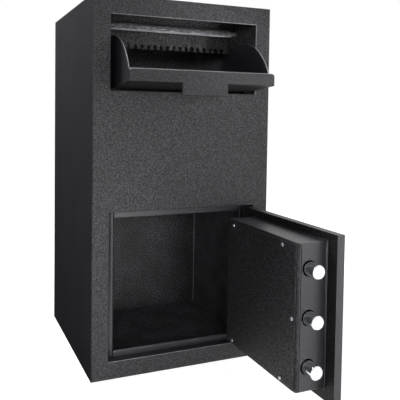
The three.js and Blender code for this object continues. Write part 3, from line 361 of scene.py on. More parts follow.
class Shape:
    """A mesh being made, in metres."""

    def __init__(self) -> None:
        """Starts empty."""
        self.mesh = bmesh.new()

    @classmethod
    def block(cls, low: Iterable[float], high: Iterable[float]) -> "Shape":
        """Starts from a rectangular block.

        Args:
            low: its lowest corner.
            high: its highest corner.

        Returns:
            The block.
        """
        shape = cls()
        low, high = Vector(low), Vector(high)
        size = Matrix.Diagonal((*(high - low), 1.0))
        bmesh.ops.create_cube(shape.mesh, size=1.0, matrix=Matrix.Translation((low + high) / 2) @ size)
        return shape

    @classmethod
    def rod(cls, start: Vector, end: Vector, radius: float, sides: int) -> "Shape":
        """Starts from a round rod between two points.

        Args:
            start: the middle of one end.
            end: the middle of the other.
            radius: its radius.
            sides: how many sides it has.

        Returns:
            The rod.
        """
        shape = cls()
        along = end - start
        turn = along.to_track_quat("Z", "Y").to_matrix().to_4x4()
        place = Matrix.Translation((start + end) / 2) @ turn
        bmesh.ops.create_cone(
            shape.mesh, cap_ends=True, segments=sides, radius1=radius, radius2=radius, depth=along.length,
            matrix=place,
        )
        return shape

    @classmethod
    def of_node(cls, name: str) -> "Shape":
        """Starts from a merged copy of a CAD node, with its flat faces whole.

        Args:
            name: the node.

        Returns:
            The copy.
        """
        shape = cls()
        mesh = shape.mesh
        mesh.from_mesh(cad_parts[name].data)
        for face in mesh.faces:
            face.material_index = 0
        bmesh.ops.remove_doubles(mesh, verts=mesh.verts, dist=MERGE_DISTANCE)
        bmesh.ops.dissolve_limit(mesh, angle_limit=FLAT_ANGLE, verts=mesh.verts, edges=mesh.edges)
        return shape

    @classmethod
    def figure(cls, text: str, size: float, height: float, place: Matrix) -> "Shape":
        """Starts from a printed figure.

        Args:
            text: the figure.
            size: its size.
            height: how far it stands out.
            place: where its middle lies and how it is turned.

        Returns:
            The figure.
        """
        curve = bpy.data.curves.new("figure", "FONT")
        curve.body = text
        curve.size = size
        curve.extrude = height
        curve.align_x, curve.align_y = "CENTER", "CENTER"
        curve.resolution_u = 4
        thing = add_object("figure", curve)
        shape = cls()
        flat = cls.evaluated(thing)
        shape.mesh.from_mesh(flat)
        bpy.data.meshes.remove(flat)
        bpy.data.objects.remove(thing)
        bpy.data.curves.remove(curve)
        bmesh.ops.remove_doubles(shape.mesh, verts=shape.mesh.verts, dist=MERGE_DISTANCE)
        bmesh.ops.transform(shape.mesh, matrix=place, verts=shape.mesh.verts)
        return shape

    @staticmethod
    def evaluated(thing: bpy.types.Object) -> bpy.types.Mesh:
        """Gives an object's mesh with its modifiers applied.

        Args:
            thing: the object, linked to the scene.

        Returns:
            A new mesh.
        """
        graph = bpy.context.evaluated_depsgraph_get()
        return bpy.data.meshes.new_from_object(thing.evaluated_get(graph))

    def painted(self, index: int, where: Callable[[Face], bool] | None = None) -> "Shape":
        """Gives faces another of the piece's finishes.

        Args:
            index: the finish's number.
            where: a test that a face must pass, or None for all faces.

        Returns:
            The same shape.
        """
        self.mesh.normal_update()
        for face in self.mesh.faces:
            if where is None or where(face):
                face.material_index = index
        return self

    def joined(self, *others: "Shape") -> "Shape":
        """Takes in other shapes as they stand.

        Args:
            others: the shapes, which are used up.

        Returns:
            The same shape.
        """
        for other in others:
            scratch = other.spent("scratch")
            self.mesh.from_mesh(scratch)
            bpy.data.meshes.remove(scratch)
        return self

    def cut(self, tool: "Shape", volume: Volume = Volume.REMOVED) -> "Shape":
        """Cuts the shape along another shape's faces.

        Args:
            tool: the other shape, which is used up.
            volume: what becomes of the other shape's volume.

        Returns:
            The same shape.
        """
        body, cutter = (add_object("scratch", shape.spent("scratch")) for shape in (self, tool))
        change = body.modifiers.new("cut", "BOOLEAN")
        change.operation = volume.value
        change.solver = "EXACT"
        change.object = cutter
        result = self.evaluated(body)
        self.mesh = bmesh.new()
        self.mesh.from_mesh(result)
        bpy.data.meshes.remove(result)
        for thing in (body, cutter):
            data = thing.data
            bpy.data.objects.remove(thing)
            bpy.data.meshes.remove(data)
        return self

    def spent(self, name: str) -> bpy.types.Mesh:
        """Turns the shape into mesh data, which uses the shape up.

        Args:
            name: the data's name.

        Returns:
            The data.
        """
        data = bpy.data.meshes.new(name)
        self.mesh.to_mesh(data)
        self.mesh.free()
        return data

    def rounded(self, radius: float, segments: int, where: EdgeTest | None = None) -> "Shape":
        """Rounds edges where two faces meet at an angle.

        Args:
            radius: how far the round reaches.
            segments: faces across the round.
            where: a test of an edge's two ends, or None for all edges.

        Returns:
            The same shape.
        """
        self.mesh.normal_update()
        edges = [
            edge
            for edge in self.mesh.edges
            if edge.is_manifold
            and edge.calc_face_angle() > SHARP_ANGLE
            and (where is None or where(edge.verts[0].co, edge.verts[1].co))
        ]
        bmesh.ops.bevel(
            self.mesh, geom=edges, offset=radius, offset_type="OFFSET", segments=segments, profile=0.5,
            affect="EDGES", material=-1, clamp_overlap=True,
        )
        return self

    def windowed(self, low: Vector, high: Vector, axis: int) -> "Shape":
        """Cuts a rectangular window right through the shape.

        Args:
            low: the window's lowest corner, with any value along the axis.
            high: its highest corner.
            axis: the axis that the window runs along.

        Returns:
            The same shape.
        """
        mesh = self.mesh
        across = [n for n in range(3) if n != axis]
        for n in across:
            for value in (low[n], high[n]):
                normal = Vector((0, 0, 0))
                normal[n] = 1.0
                geometry = [*mesh.verts, *mesh.edges, *mesh.faces]
                bmesh.ops.bisect_plane(
                    mesh, geom=geometry, dist=MERGE_DISTANCE, plane_co=normal * value, plane_no=normal
                )

        def inside(face: Face) -> bool:
            """Tells whether a face closes the window."""
            middle = face.calc_center_median()
            return abs(face.normal[axis]) > STRAIGHT and all(low[n] < middle[n] < high[n] for n in across)

        closing = [face for face in mesh.faces if inside(face)]
        edges = {edge for face in closing for edge in face.edges}
        rims = {edge for edge in edges if not all(inside(face) for face in edge.link_faces)}
        bmesh.ops.delete(mesh, geom=closing, context="FACES")
        bmesh.ops.bridge_loops(mesh, edges=[edge for edge in rims if edge.is_valid])
        bmesh.ops.recalc_face_normals(mesh, faces=mesh.faces)
        return self

    def finish(self, name: str, finishes: Iterable[Finish]) -> bpy.types.Object:
        """Closes the mesh into an object with its materials, its rounds smooth and its flats flat.

        Args:
            name: the piece's name.
            finishes: a finish for each material number of the faces.

        Returns:
            The object.
        """
        data = self.spent(name)
        for finish in finishes:
            data.materials.append(finish.material())
        thing = add_object(name, data)
        data.shade_smooth()
        data.set_sharp_from_angle(angle=SHARP_ANGLE)
        weighted = thing.modifiers.new("even_normals", "WEIGHTED_NORMAL")
        weighted.keep_sharp = True
        weighted.weight = 100
        return thing


class Assembly:
    """What every sub-assembly of the safe can do with its pieces."""

    body: str = "cabinet"

    def put(self, shape: Shape, node: str, slot: str, *finishes: Finish, body: str | None = None) -> None:
        """Makes a shape a piece of the safe, in place of a CAD node.

        Args:
            shape: the shape, where it stands.
            node: the CAD node that it stands for.
            slot: the record's material slot; not used.
            finishes: a finish for each material number.
            body: the CAD body that it rides on, or None for the assembly's own.
        """
        piece = shape.finish(node + "_finished", finishes)
        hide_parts(node)
        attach(piece, body or self.body)
        log.info("%s: %d faces, in place of %s", piece.name, len(piece.data.polygons), node)

    def refine(self, node: str, slot: str, finish: Finish, radius: float, segments: int = 2) -> None:
        """Stands a copy of a CAD node with rounded edges in its place.

        Args:
            node: the node.
            slot: the record's material slot.
            finish: its finish.
            radius: how far the rounds reach.
            segments: faces across a round.
        """
        self.put(Shape.of_node(node).rounded(radius, segments), node, slot, finish)

    def dress(self, finish: Finish, *nodes: str) -> None:
        """Gives CAD nodes that keep their own shape a finish.

        Args:
            finish: the finish.
            nodes: the nodes.
        """
        for name in nodes:
            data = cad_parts[name].data
            data.materials.clear()
            data.materials.append(finish.material())
            log.info("%s: CAD shape, %s", name, finish.name)


def on(value: float, *points: float) -> bool:
    """Tells whether points lie at a value along an axis."""
    return all(abs(point - value) < SAME_PLACE for point in points)


def corners(node: str) -> list[Vector]:
    """Gives the corners of a CAD node's mesh."""
    return [vert.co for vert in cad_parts[node].data.vertices]


@dataclass
class Cabinet(Assembly):
    """The steel body: wall sheets, the front plate with its two openings, and the plate behind.

    Attributes:
        corner: rounding of the front plate's outer edges, where it is welded to the body and ground.
        rim: rounding of the openings' edges.
        rim_strip: width of the strip round an opening in which its rim lies.
        fold: rounding of the side sheets' edges.
        seam: rounding of the other sheets' edges.
        bead: radius of the weld bead in the body's rear corners.
    """

    corner: float = 3.0 * MM
    rim: float = 1.7 * MM
    rim_strip: float = 2.55 * MM
    fold: float = 1.2 * MM
    seam: float = 0.6 * MM
    bead: float = 1.0 * MM

    def build(self) -> None:
        """Makes the cabinet's plates."""
        self.front_plate()
        for side in Side:
            self.wall(side.name.lower() + "_wall", -side.value)
        self.refine("top_plate", "powder_coat", TEXTURED_COAT, self.seam)
        # The compartment's floor in the paler coat: a painted light.
        self.refine("bottom_plate", "powder_coat", PALE_PAINTED_LIGHT_COAT, self.seam)
        self.back_plate()

    def front_plate(self) -> None:
        """Makes the front plate, its openings cut through and all its edges rounded by the coat."""
        low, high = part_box("front_plate")
        shape = Shape.block(low, high)
        holes = self.front_holes()
        for hole_low, hole_high in holes:
            shape.windowed(hole_low, hole_high, 1)

        def outer(a: Vector, b: Vector) -> bool:
            """Picks the outline of the front face.

            Args:
                a: one end of an edge.
                b: its other end.

            Returns:
                Whether the edge belongs to it.
            """
            at_side = any(on(x, a.x, b.x) for x in (low.x, high.x))
            at_end = any(on(z, a.z, b.z) for z in (low.z, high.z))
            return on(low.y, a.y, b.y) and (at_side or at_end)

        def within(point: Vector, margin: float, *axes: int) -> bool:
            """Tells whether a point keeps a margin from the plate's ends along the given axes."""
            return all(low[n] + margin < point[n] < high[n] - margin for n in axes)

        shape.rounded(self.corner, 5, outer)
        shape.rounded(self.rim, 3, lambda a, b: within(a, self.corner, 0) and within(b, self.corner, 0))
        (_, door_high), (_, hopper_high) = holes
        strip = self.rim_strip

        def lit(face: Face) -> bool:
            """Picks the openings' rims that face the lamps.

            Args:
                face: a face of the plate.

            Returns:
                Whether it belongs to them.
            """
            middle, normal = face.calc_center_median(), face.normal
            if middle.y > low.y + self.rim or normal.y > -LEANING or not within(middle, strip, 0):
                return False
            over_hopper = middle.z > hopper_high.z - strip and normal.z < -LEANING
            beside_hopper = middle.z > door_high.z + strip and normal.x < -LEANING and middle.x > 0
            under_door = low.z + self.corner < middle.z < door_high.z / 2 and normal.z > LEANING
            return over_hopper or beside_hopper or under_door

        def shaded(face: Face) -> bool:
            """Picks the openings' rims that face away from the lamps.

            Args:
                face: a face of the plate.

            Returns:
                Whether it belongs to them.
            """
            middle, normal = face.calc_center_median(), face.normal
            over_door = normal.z < -LEANING and middle.z < hopper_high.z / 2
            turned = normal.y > -STRAIGHT and (over_door or normal.x > LEANING)
            return turned and within(middle, strip, 0, 2)

        # The rims that face the lamps take a painted highlight, those that face away a painted shade.
        shape.painted(1, lit).painted(2, shaded)
        self.put(shape, "front_plate", "powder_coat", TEXTURED_COAT, HIGHLIGHT_PAINTED_COAT, SHADE_PAINTED_COAT)

    @staticmethod
    def front_holes() -> list[tuple[Vector, Vector]]:
        """Reads the two openings of the CAD front plate.

        Returns:
            The lowest and highest corner of the door's opening, and of the hopper's.
        """
        low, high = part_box("front_plate")
        rims = [p for p in corners("front_plate") if low.x + STEP < p.x < high.x - STEP]
        inner = [p for p in rims if low.z + STEP < p.z < high.z - STEP]
        heights = sorted({round(p.z, 5) for p in inner})
        left, right = min(p.x for p in inner), max(p.x for p in inner)
        pairs = (heights[:2], heights[2:])
        return [(Vector((left, low.y, bottom)), Vector((right, high.y, top))) for bottom, top in pairs]

    def back_plate(self) -> None:
        """Makes the back plate with the weld beads that join it to the side sheets."""
        low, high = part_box("back_plate")
        shape = Shape.of_node("back_plate").rounded(self.seam, 2)
        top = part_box("jamb_top")[1].z
        for x in (low.x + self.bead / 2, high.x - self.bead / 2):
            start, end = Vector((x, low.y, low.z)), Vector((x, low.y, top))
            shape.joined(Shape.rod(start, end, self.bead, BEAD_SIDES).painted(1))
        # The plate takes the inside coat, a painted light, and the weld beads a painted highlight.
        self.put(shape, "back_plate", "powder_coat", INSIDE_PAINTED_LIGHT_COAT, HIGHLIGHT_PAINTED_COAT)

    def wall(self, node: str, inward: float) -> None:
        """Makes a side sheet, matt outside and painted paler inside, a painted light.

        Args:
            node: the CAD sheet.
            inward: the sign on x of the way into the safe.
        """
        shape = Shape.of_node(node).rounded(self.fold, 2)
        # The inner face takes the paler coat: a painted light.
        shape.painted(1, lambda face: face.normal.x * inward > STRAIGHT)
        self.put(shape, node, "powder_coat", WALL_COAT, PALE_PAINTED_LIGHT_COAT)


@dataclass
class DoorFrame(Assembly):
    """The folded sections behind the lower opening.

    Attributes:
        rim: rounding of the sections' edges.
        bend: outer radius of the bend between a section's face and its return into the safe.
    """

    rim: float = 0.9 * MM
    bend: float = 2.9 * MM

    def build(self) -> None:
        """Rounds the four sections, two of them with a wide bend at the door's opening."""
        for node in ("jamb_right", "jamb_top"):
            self.refine(node, "satin_paint", SATIN_COAT, self.rim, 3)
        self.bent("jamb_left", 0)
        self.bent("jamb_bottom", 2)

    def bent(self, node: str, axis: int) -> None:
        """Makes a section with a wide bend between its face and its end at the opening.

        Args:
            node: the CAD section.
            axis: the axis that it reaches into the opening along.
        """
        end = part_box(node)[1][axis]
        face = min(p.y for p in corners(node) if on(end, p[axis]))
        shape = Shape.of_node(node).rounded(
            self.bend, 5, lambda a, b: on(end, a[axis], b[axis]) and on(face, a.y, b.y)
        )
        self.put(shape, node, "satin_paint", SATIN_COAT)


@dataclass
class Chute(Assembly):
    """Cheeks, lip bar, toothed plate and stops around the hopper.

    Attributes:
        lip_rim: rounding of the lip bar's edges.
        lip_highlight_reach: how far up from the bar's lower edge its painted highlight reaches.
        cheek_rim: rounding of the cheeks.
        stop_rim: rounding of the rubber stops.
        boss_rim: rounding of the bar's bosses.
        notch: width and height of a notch between two teeth.
        notch_head: radius of the notch's round head.
        tooth_rim_share: rounding of the teeth, as a share of that radius.
    """

    lip_rim: float = 1.3 * MM
    lip_highlight_reach: float = 2.99 * MM
    cheek_rim: float = 0.5 * MM
    stop_rim: float = 1.5 * MM
    boss_rim: float = 0.9 * MM
    notch: tuple[float, float] = (5.0 * MM, 5.6 * MM)
    notch_head: float = 3.5 * MM
    tooth_rim_share: float = 1 / 9

    def build(self) -> None:
        """Makes the pieces around the hopper."""
        for side in Side:
            name = side.name.lower()
            # The cheeks take the inside coat with its painted light.
            self.refine("chute_cheek_" + name, "satin_paint", INSIDE_PAINTED_LIGHT_COAT, self.cheek_rim)
            self.refine("hopper_stop_" + name, "stop_rubber", RUBBER, self.stop_rim, 3)
            self.refine("lintel_boss_" + name, "zinc_steel", ZINC, self.boss_rim, 3)
        self.lip_bar()
        self.baffle()

    def baffle(self) -> None:
        """Makes the toothed plate, with a round-headed notch between each two teeth."""
        low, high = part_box("sawtooth_baffle")
        tips = sorted({round(p.x, 5) for p in corners("sawtooth_baffle") if on(low.z, p.z)})
        width, height = self.notch
        front, back, foot = low.y - STEP, high.y + STEP, low.z - STEP
        notches = []
        for left, right in zip(tips[1:-1:2], tips[2::2]):
            middle = (left + right) / 2
            head, through = (Vector((middle, y, low.z + height)) for y in (front, back))
            slot = Shape.block((middle - width / 2, front, foot), (middle + width / 2, back, head.z))
            notches.append(slot.cut(Shape.rod(head, through, self.notch_head, HEAD_SIDES), Volume.ADDED))
        shape = Shape.block(low, high).cut(notches[0].joined(*notches[1:]))
        shape.rounded(self.notch_head * self.tooth_rim_share, 1)
        self.put(shape, "sawtooth_baffle", "powder_coat", COVER_COAT)

    def lip_bar(self) -> None:
        """Makes the rolled lip bar in its lighter coat, a painted light, with a painted highlight along its
        lower edge.
        """
        low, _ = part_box("lintel_bar")
        shape = Shape.of_node("lintel_bar").rounded(self.lip_rim, 3)
        # A painted highlight along the bar's lower edge.
        shape.painted(1, lambda face: face.calc_center_median().z < low.z + self.lip_highlight_reach)
        self.put(shape, "lintel_bar", "satin_paint", LIP_PAINTED_LIGHT_COAT, HIGHLIGHT_PAINTED_COAT)


@dataclass
class Hopper(Assembly):
    """The tilting trough: floor panel with its bar and pull tab, side plates, ramp and rod.

    Attributes:
        end_corner: rounding of the bar's ends, seen from the front.
        edge: rounding of the bar's front edges.
        rim: rounding of the panel's other edges.
        bar_depth: how deep the bar is, and a little more.
        highlight_from: how far up a face of the bar's top must look to take the painted highlight.
        sheet_rim: rounding of the side plates and the ramp.
        rod_rim: rounding of the rod's ends.
    """

    body: str = "hopper"
    end_corner: float = 6.0 * MM
    edge: float = 1.9 * MM
    rim: float = 0.8 * MM
    bar_depth: float = 6.0 * MM
    highlight_from: float = 0.25
    sheet_rim: float = 0.5 * MM
    rod_rim: float = 0.8 * MM

    def build(self) -> None:
        """Makes the trough."""
        self.panel()
        for side in Side:
            name = "hopper_side_" + side.name.lower()
            shape = Shape.of_node(name).rounded(self.sheet_rim, 2)
            # The side plates' edges take a painted highlight.
            shape.painted(1, lambda face: abs(face.normal.x) < STRAIGHT)
            self.put(shape, name, "satin_paint", SATIN_COAT, HIGHLIGHT_PAINTED_COAT)
        # The ramp takes the darker coat: a painted shade.
        self.refine("hopper_ramp", "satin_paint", SHADE_PAINTED_COAT, self.sheet_rim)
        self.refine("hopper_rod", "zinc_steel", ZINC, self.rod_rim)

    def panel(self) -> None:
        """Makes the floor panel with its bar, the bar's ends and front edges well rounded."""
        low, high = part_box("hopper_panel")
        shape = Shape.of_node("hopper_panel")

        def end(a: Vector, b: Vector) -> bool:
            """Picks the short edges across the bar's ends."""
            across = on(a.z, b.z) and any(on(x, a.x, b.x) for x in (low.x, high.x))
            return across and min(a.y, b.y) < low.y + STEP and abs(a.y - b.y) < self.bar_depth

        def top(face: Face) -> bool:
            """Picks the rounded upper edges of the bar."""
            return face.normal.z > self.highlight_from and face.calc_center_median().z > high.z - self.edge

        def trough(face: Face) -> bool:
            """Picks the panel's flat faces behind the bar."""
            return abs(face.normal.z) > STRAIGHT and face.calc_center_median().y > low.y + self.bar_depth

        shape.rounded(self.end_corner, 4, end)
        shape.rounded(self.edge, 4, lambda a, b: on(low.y, a.y, b.y))
        shape.rounded(self.rim, 2, lambda a, b: min(a.y, b.y) > low.y + self.edge)
        # The bar's upper edges take a painted highlight, the trough's flat faces a painted shade.
        shape.painted(1, top).painted(2, trough)
        self.put(shape, "hopper_panel", "powder_coat", HOPPER_COAT, HIGHLIGHT_PAINTED_COAT, SHADE_PAINTED_COAT)


@dataclass
class DoorLeaf(Assembly):
    """The door plate, hinge pins, bolt box with its cover and screws.

    Attributes:
        plate_edge: rounding of the plate's edges.
        ground_reach: how far in from the free end its ground edge reaches.
        ground_from: how far a face there must look outward to be ground.
        box_fold: radius of the box's fold beside the bolts.
        box_edge: rounding of the box's other edges.
        foot: width of the weld bead round the box's foot.
        foot_edge: rounding of that bead.
        bolt_gap: gap round a bolt where it comes out of the box.
        hole_depth: length of the tool that opens that gap.
        groove: width and depth of the seams beside the bolts.
        groove_from_foot: distance of the outer seam from the box's foot.
        recess: width, length and depth of the screws' cross recess.
        screw_rim: rounding of the screws.
        pin_rim: rounding of the hinge pins.
        cover_rim: rounding of the cover plate.
        casting_rim: rounding of the rose and the lock.
    """

    body: str = "door"
    plate_edge: float = 1.9 * MM
    ground_reach: float = 3.0 * MM
    ground_from: float = 0.6
    box_fold: float = 5.5 * MM
    box_edge: float = 3.0 * MM
    foot: float = 1.4 * MM
    foot_edge: float = 0.84 * MM
    bolt_gap: float = 1.7 * MM
    hole_depth: float = 4.2 * MM
    groove: tuple[float, float] = (1.2 * MM, 1.1 * MM)
    groove_from_foot: float = 3.5 * MM
    recess: tuple[float, float, float] = (0.8 * MM, 3.4 * MM, 0.9 * MM)
    screw_rim: float = 0.3 * MM
    pin_rim: float = 0.5 * MM
    cover_rim: float = 0.7 * MM
    casting_rim: float = 1.5 * MM

    def build(self) -> None:
        """Makes the leaf and the box on it."""
        self.plate()
        for node in ("hinge_pin_upper", "hinge_pin_lower"):
            self.refine(node, "satin_paint", WALL_COAT, self.pin_rim)
        self.box()
        self.refine("lock_cover", "powder_coat", COVER_COAT, self.cover_rim)
        for number in range(1, 6):
            self.screw("cover_screw_%d" % number)
        self.dress(ZINC, "guide_stud_lower", "guide_stud_upper")
        self.refine("handle_rose", "bolt_chrome", CHROME, self.casting_rim, 4)
        self.refine("lock_body", "lock_casting", CASTING, self.casting_rim, 3)

    def plate(self) -> None:
        """Makes the door plate, with its ground edge at the free end."""
        low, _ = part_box("door_plate")
        shape = Shape.of_node("door_plate").rounded(self.plate_edge, 3)

        def ground(face: Face) -> bool:
            """Picks the ground edge."""
            outward = face.normal.y < -self.ground_from
            return outward and face.calc_center_median().y < low.y + self.ground_reach

        # The inner face takes the darker coat: a painted shade.
        shape.painted(1, ground).painted(2, lambda face: face.normal.x < -STRAIGHT)
        self.put(shape, "door_plate", "powder_coat", TEXTURED_COAT, EDGE_COAT, SHADE_PAINTED_COAT)

    def box(self) -> None:
        """Makes the bolt box, its folds round and a weld bead round its foot."""
        low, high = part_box("bolt_box")
        outside = Shape.block(low, high + Vector((self.box_fold, 0, 0)))
        outside.rounded(self.box_fold, 8, lambda a, b: on(low.x, a.x, b.x) and on(low.y, a.y, b.y))
        outside.rounded(self.box_edge, 4, lambda a, b: min(a.x, b.x) < high.x)
        shape = Shape.of_node("bolt_box").cut(outside, Volume.KEPT)
        for node in BOLTS:
            bolt_low, bolt_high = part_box(node)
            middle = (bolt_low + bolt_high) / 2
            radius = (bolt_high.z - bolt_low.z) / 2 + self.bolt_gap
            start = Vector((middle.x, low.y - self.foot, middle.z))
            shape.cut(Shape.rod(start, start + Vector((0, self.hole_depth, 0)), radius, HOLE_SIDES))
        width, depth = self.groove
        for x in (low.x + self.box_fold, high.x - self.groove_from_foot):
            corner = Vector((x, low.y - depth, low.z + self.box_edge))
            shape.cut(Shape.block(corner, Vector((x + width, low.y + depth, high.z - self.box_edge))))
        foot_low = Vector((high.x - self.foot, low.y - self.foot, low.z - self.foot))
        foot = Shape.block(foot_low, Vector((high.x, high.y + self.foot, high.z + self.foot)))
        foot.windowed(low, high, 0).rounded(self.foot_edge, 2)
        # The fold beside the bolts takes the darker cover coat: a painted shade.
        shape.painted(1, lambda face: face.normal.x < -LEANING and face.normal.y < -LEANING)
        self.put(shape.joined(foot), "bolt_box", "satin_paint", SATIN_COAT, COVER_COAT)

    def screw(self, node: str) -> None:
        """Makes a domed screw with a cross recess.

        Args:
            node: the CAD screw.
        """
        low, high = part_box(node)
        width, length, depth = self.recess
        shape = Shape.of_node(node).rounded(self.screw_rim, 2)
        middle = (low + high) / 2
        for half_y, half_z in ((width / 2, length / 2), (length / 2, width / 2)):
            slot_low = (low.x - depth, middle.y - half_y, middle.z - half_z)
            shape.cut(Shape.block(slot_low, (low.x + depth, middle.y + half_y, middle.z + half_z)))
        self.put(shape, node, "zinc_steel", ZINC)


@dataclass
class Boltwork(Assembly):
    """Three chromed bolts on their carrier.

    Attributes:
        bolt_rim: rounding of the bolts.
    """

    body: str = "boltwork"
    bolt_rim: float = 0.3 * MM

    def build(self) -> None:
        """Makes the bolts and dresses the carrier."""
        for node in BOLTS:
            self.refine(node, "bolt_chrome", CHROME, self.bolt_rim)
        self.dress(ZINC, "bolt_carrier")


@dataclass
class Handle(Assembly):
    """Lever, spindle and cam.

    Attributes:
        lever_edge: rounding of the lever.
    """

    body: str = "handle"
    lever_edge: float = 3.5 * MM

    def build(self) -> None:
        """Makes the lever and dresses what turns with it."""
        self.refine("handle_lever", "bolt_chrome", CHROME, self.lever_edge, 5)
        self.dress(ZINC, "spindle", "bolt_cam")


@dataclass
class Keypad(Assembly):
    """Housing, board, keys with printed figures, and the lock's small bolt.

    Attributes:
        edge: rounding of the housing.
        margin: width of the strip along its outline in which no key hole lies.
        hole_rim: rounding of the key holes.
        key_edge: rounding of a key.
        figure_size: size of a printed figure.
        ink: how far a figure stands out.
    """

    body: str = "door"
    edge: float = 2.2 * MM
    margin: float = 8.5 * MM
    hole_rim: float = 0.5 * MM
    key_edge: float = 0.9 * MM
    figure_size: float = 8.5 * MM
    ink: float = 0.08 * MM

    def build(self) -> None:
        """Makes the housing and its keys."""
        self.housing()
        self.dress(BOARD, "keypad_board")
        self.dress(STEEL, "lock_bolt")
        for name in "123456789*0#":
            self.key({"*": "key_star", "#": "key_hash"}.get(name, "key_" + name), name)

    def housing(self) -> None:
        """Makes the housing, round at its outer edge and finer at the key holes."""
        low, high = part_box("keypad_housing")
        shape = Shape.of_node("keypad_housing")

        def rim(a: Vector, b: Vector) -> bool:
            """Picks the outline of the housing's face."""
            middle = (a + b) / 2
            near = min(*(middle - low).yz, *(high - middle).yz) < self.margin
            return on(high.x, a.x, b.x) and near

        shape.rounded(self.edge, 4, rim)
        shape.rounded(self.hole_rim, 2, lambda a, b: on(high.x, a.x, b.x))
        self.put(shape, "keypad_housing", "keypad_plastic", ABS_BLACK)

    def key(self, node: str, figure: str) -> None:
        """Makes a key with its figure.

        Args:
            node: the CAD key, which is also its body.
            figure: what is printed on it.
        """
        low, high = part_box(node)
        shape = Shape.of_node(node).rounded(self.key_edge, 3, lambda a, b: on(high.x, a.x, b.x))
        middle = Vector((high.x, (low.y + high.y) / 2, (low.z + high.z) / 2))
        upright = Matrix(((0, 0, 1), (1, 0, 0), (0, 1, 0))).to_4x4()
        ink = Shape.figure(figure, self.figure_size, self.ink, Matrix.Translation(middle) @ upright)
        self.put(shape.joined(ink.painted(1)), node, "key_plastic", ABS_GREY, KEY_INK, body=node)


@dataclass(frozen=True)
class Lamp:
    """A soft square lamp.

    Attributes:
        name: its name.
        place: where it hangs.
        aim: the point that it faces.
        size: the side of its square.
        power: its power in watts.
        spread: the angle that its light fills, in degrees.
    """

    name: str
    place: tuple[float, float, float]
    aim: tuple[float, float, float]
    size: float
    power: float
    spread: float = 180.0

    def build(self) -> None:
        """Hangs the lamp."""
        data = bpy.data.lights.new(self.name, "AREA")
        data.size = self.size
        data.energy = self.power
        data.spread = math.radians(self.spread)
        lamp = add_object(self.name, data)
        lamp.location = self.place
        lamp.rotation_euler = (Vector(self.aim) - Vector(self.place)).to_track_quat("-Z", "Y").to_euler()


LAMPS = (
    Lamp("key", (-0.62, -1.9, 0.7), (0, 0, 0.35), 0.2, 4.2),
    Lamp("front_right", (0.85, -1.35, 0.42), (0, 0, 0.4), 0.55, 3.0),
    Lamp("bounce", (-0.35, -1.25, 0.1), (-0.05, -0.1, 0.3), 0.35, 0.8),
    Lamp("low_beam", (-0.12, -1.6, 0.22), (-0.12, -0.17, 0.17), 0.3, 0.32, spread=36),
    Lamp("lip_spot", (0.45, -1.5, 0.28), (0.05, -0.08, 0.645), 0.12, 0.045, spread=11),
    Lamp("hopper_spot", (-0.62, -1.9, 0.72), (0.05, -0.12, 0.59), 0.12, 0.04, spread=10),
    Lamp("upper_left", (-0.7, 0.3, 1.5), (-0.18, 0.1, 0.6), 0.4, 30),
    Lamp("overhead", (-0.1, -0.6, 2.4), (0, -0.2, 0.3), 0.8, 2),
    Lamp("right_fill", (1.9, 0.5, 1.4), (0.18, -0.05, 0.35), 0.9, 16),
)


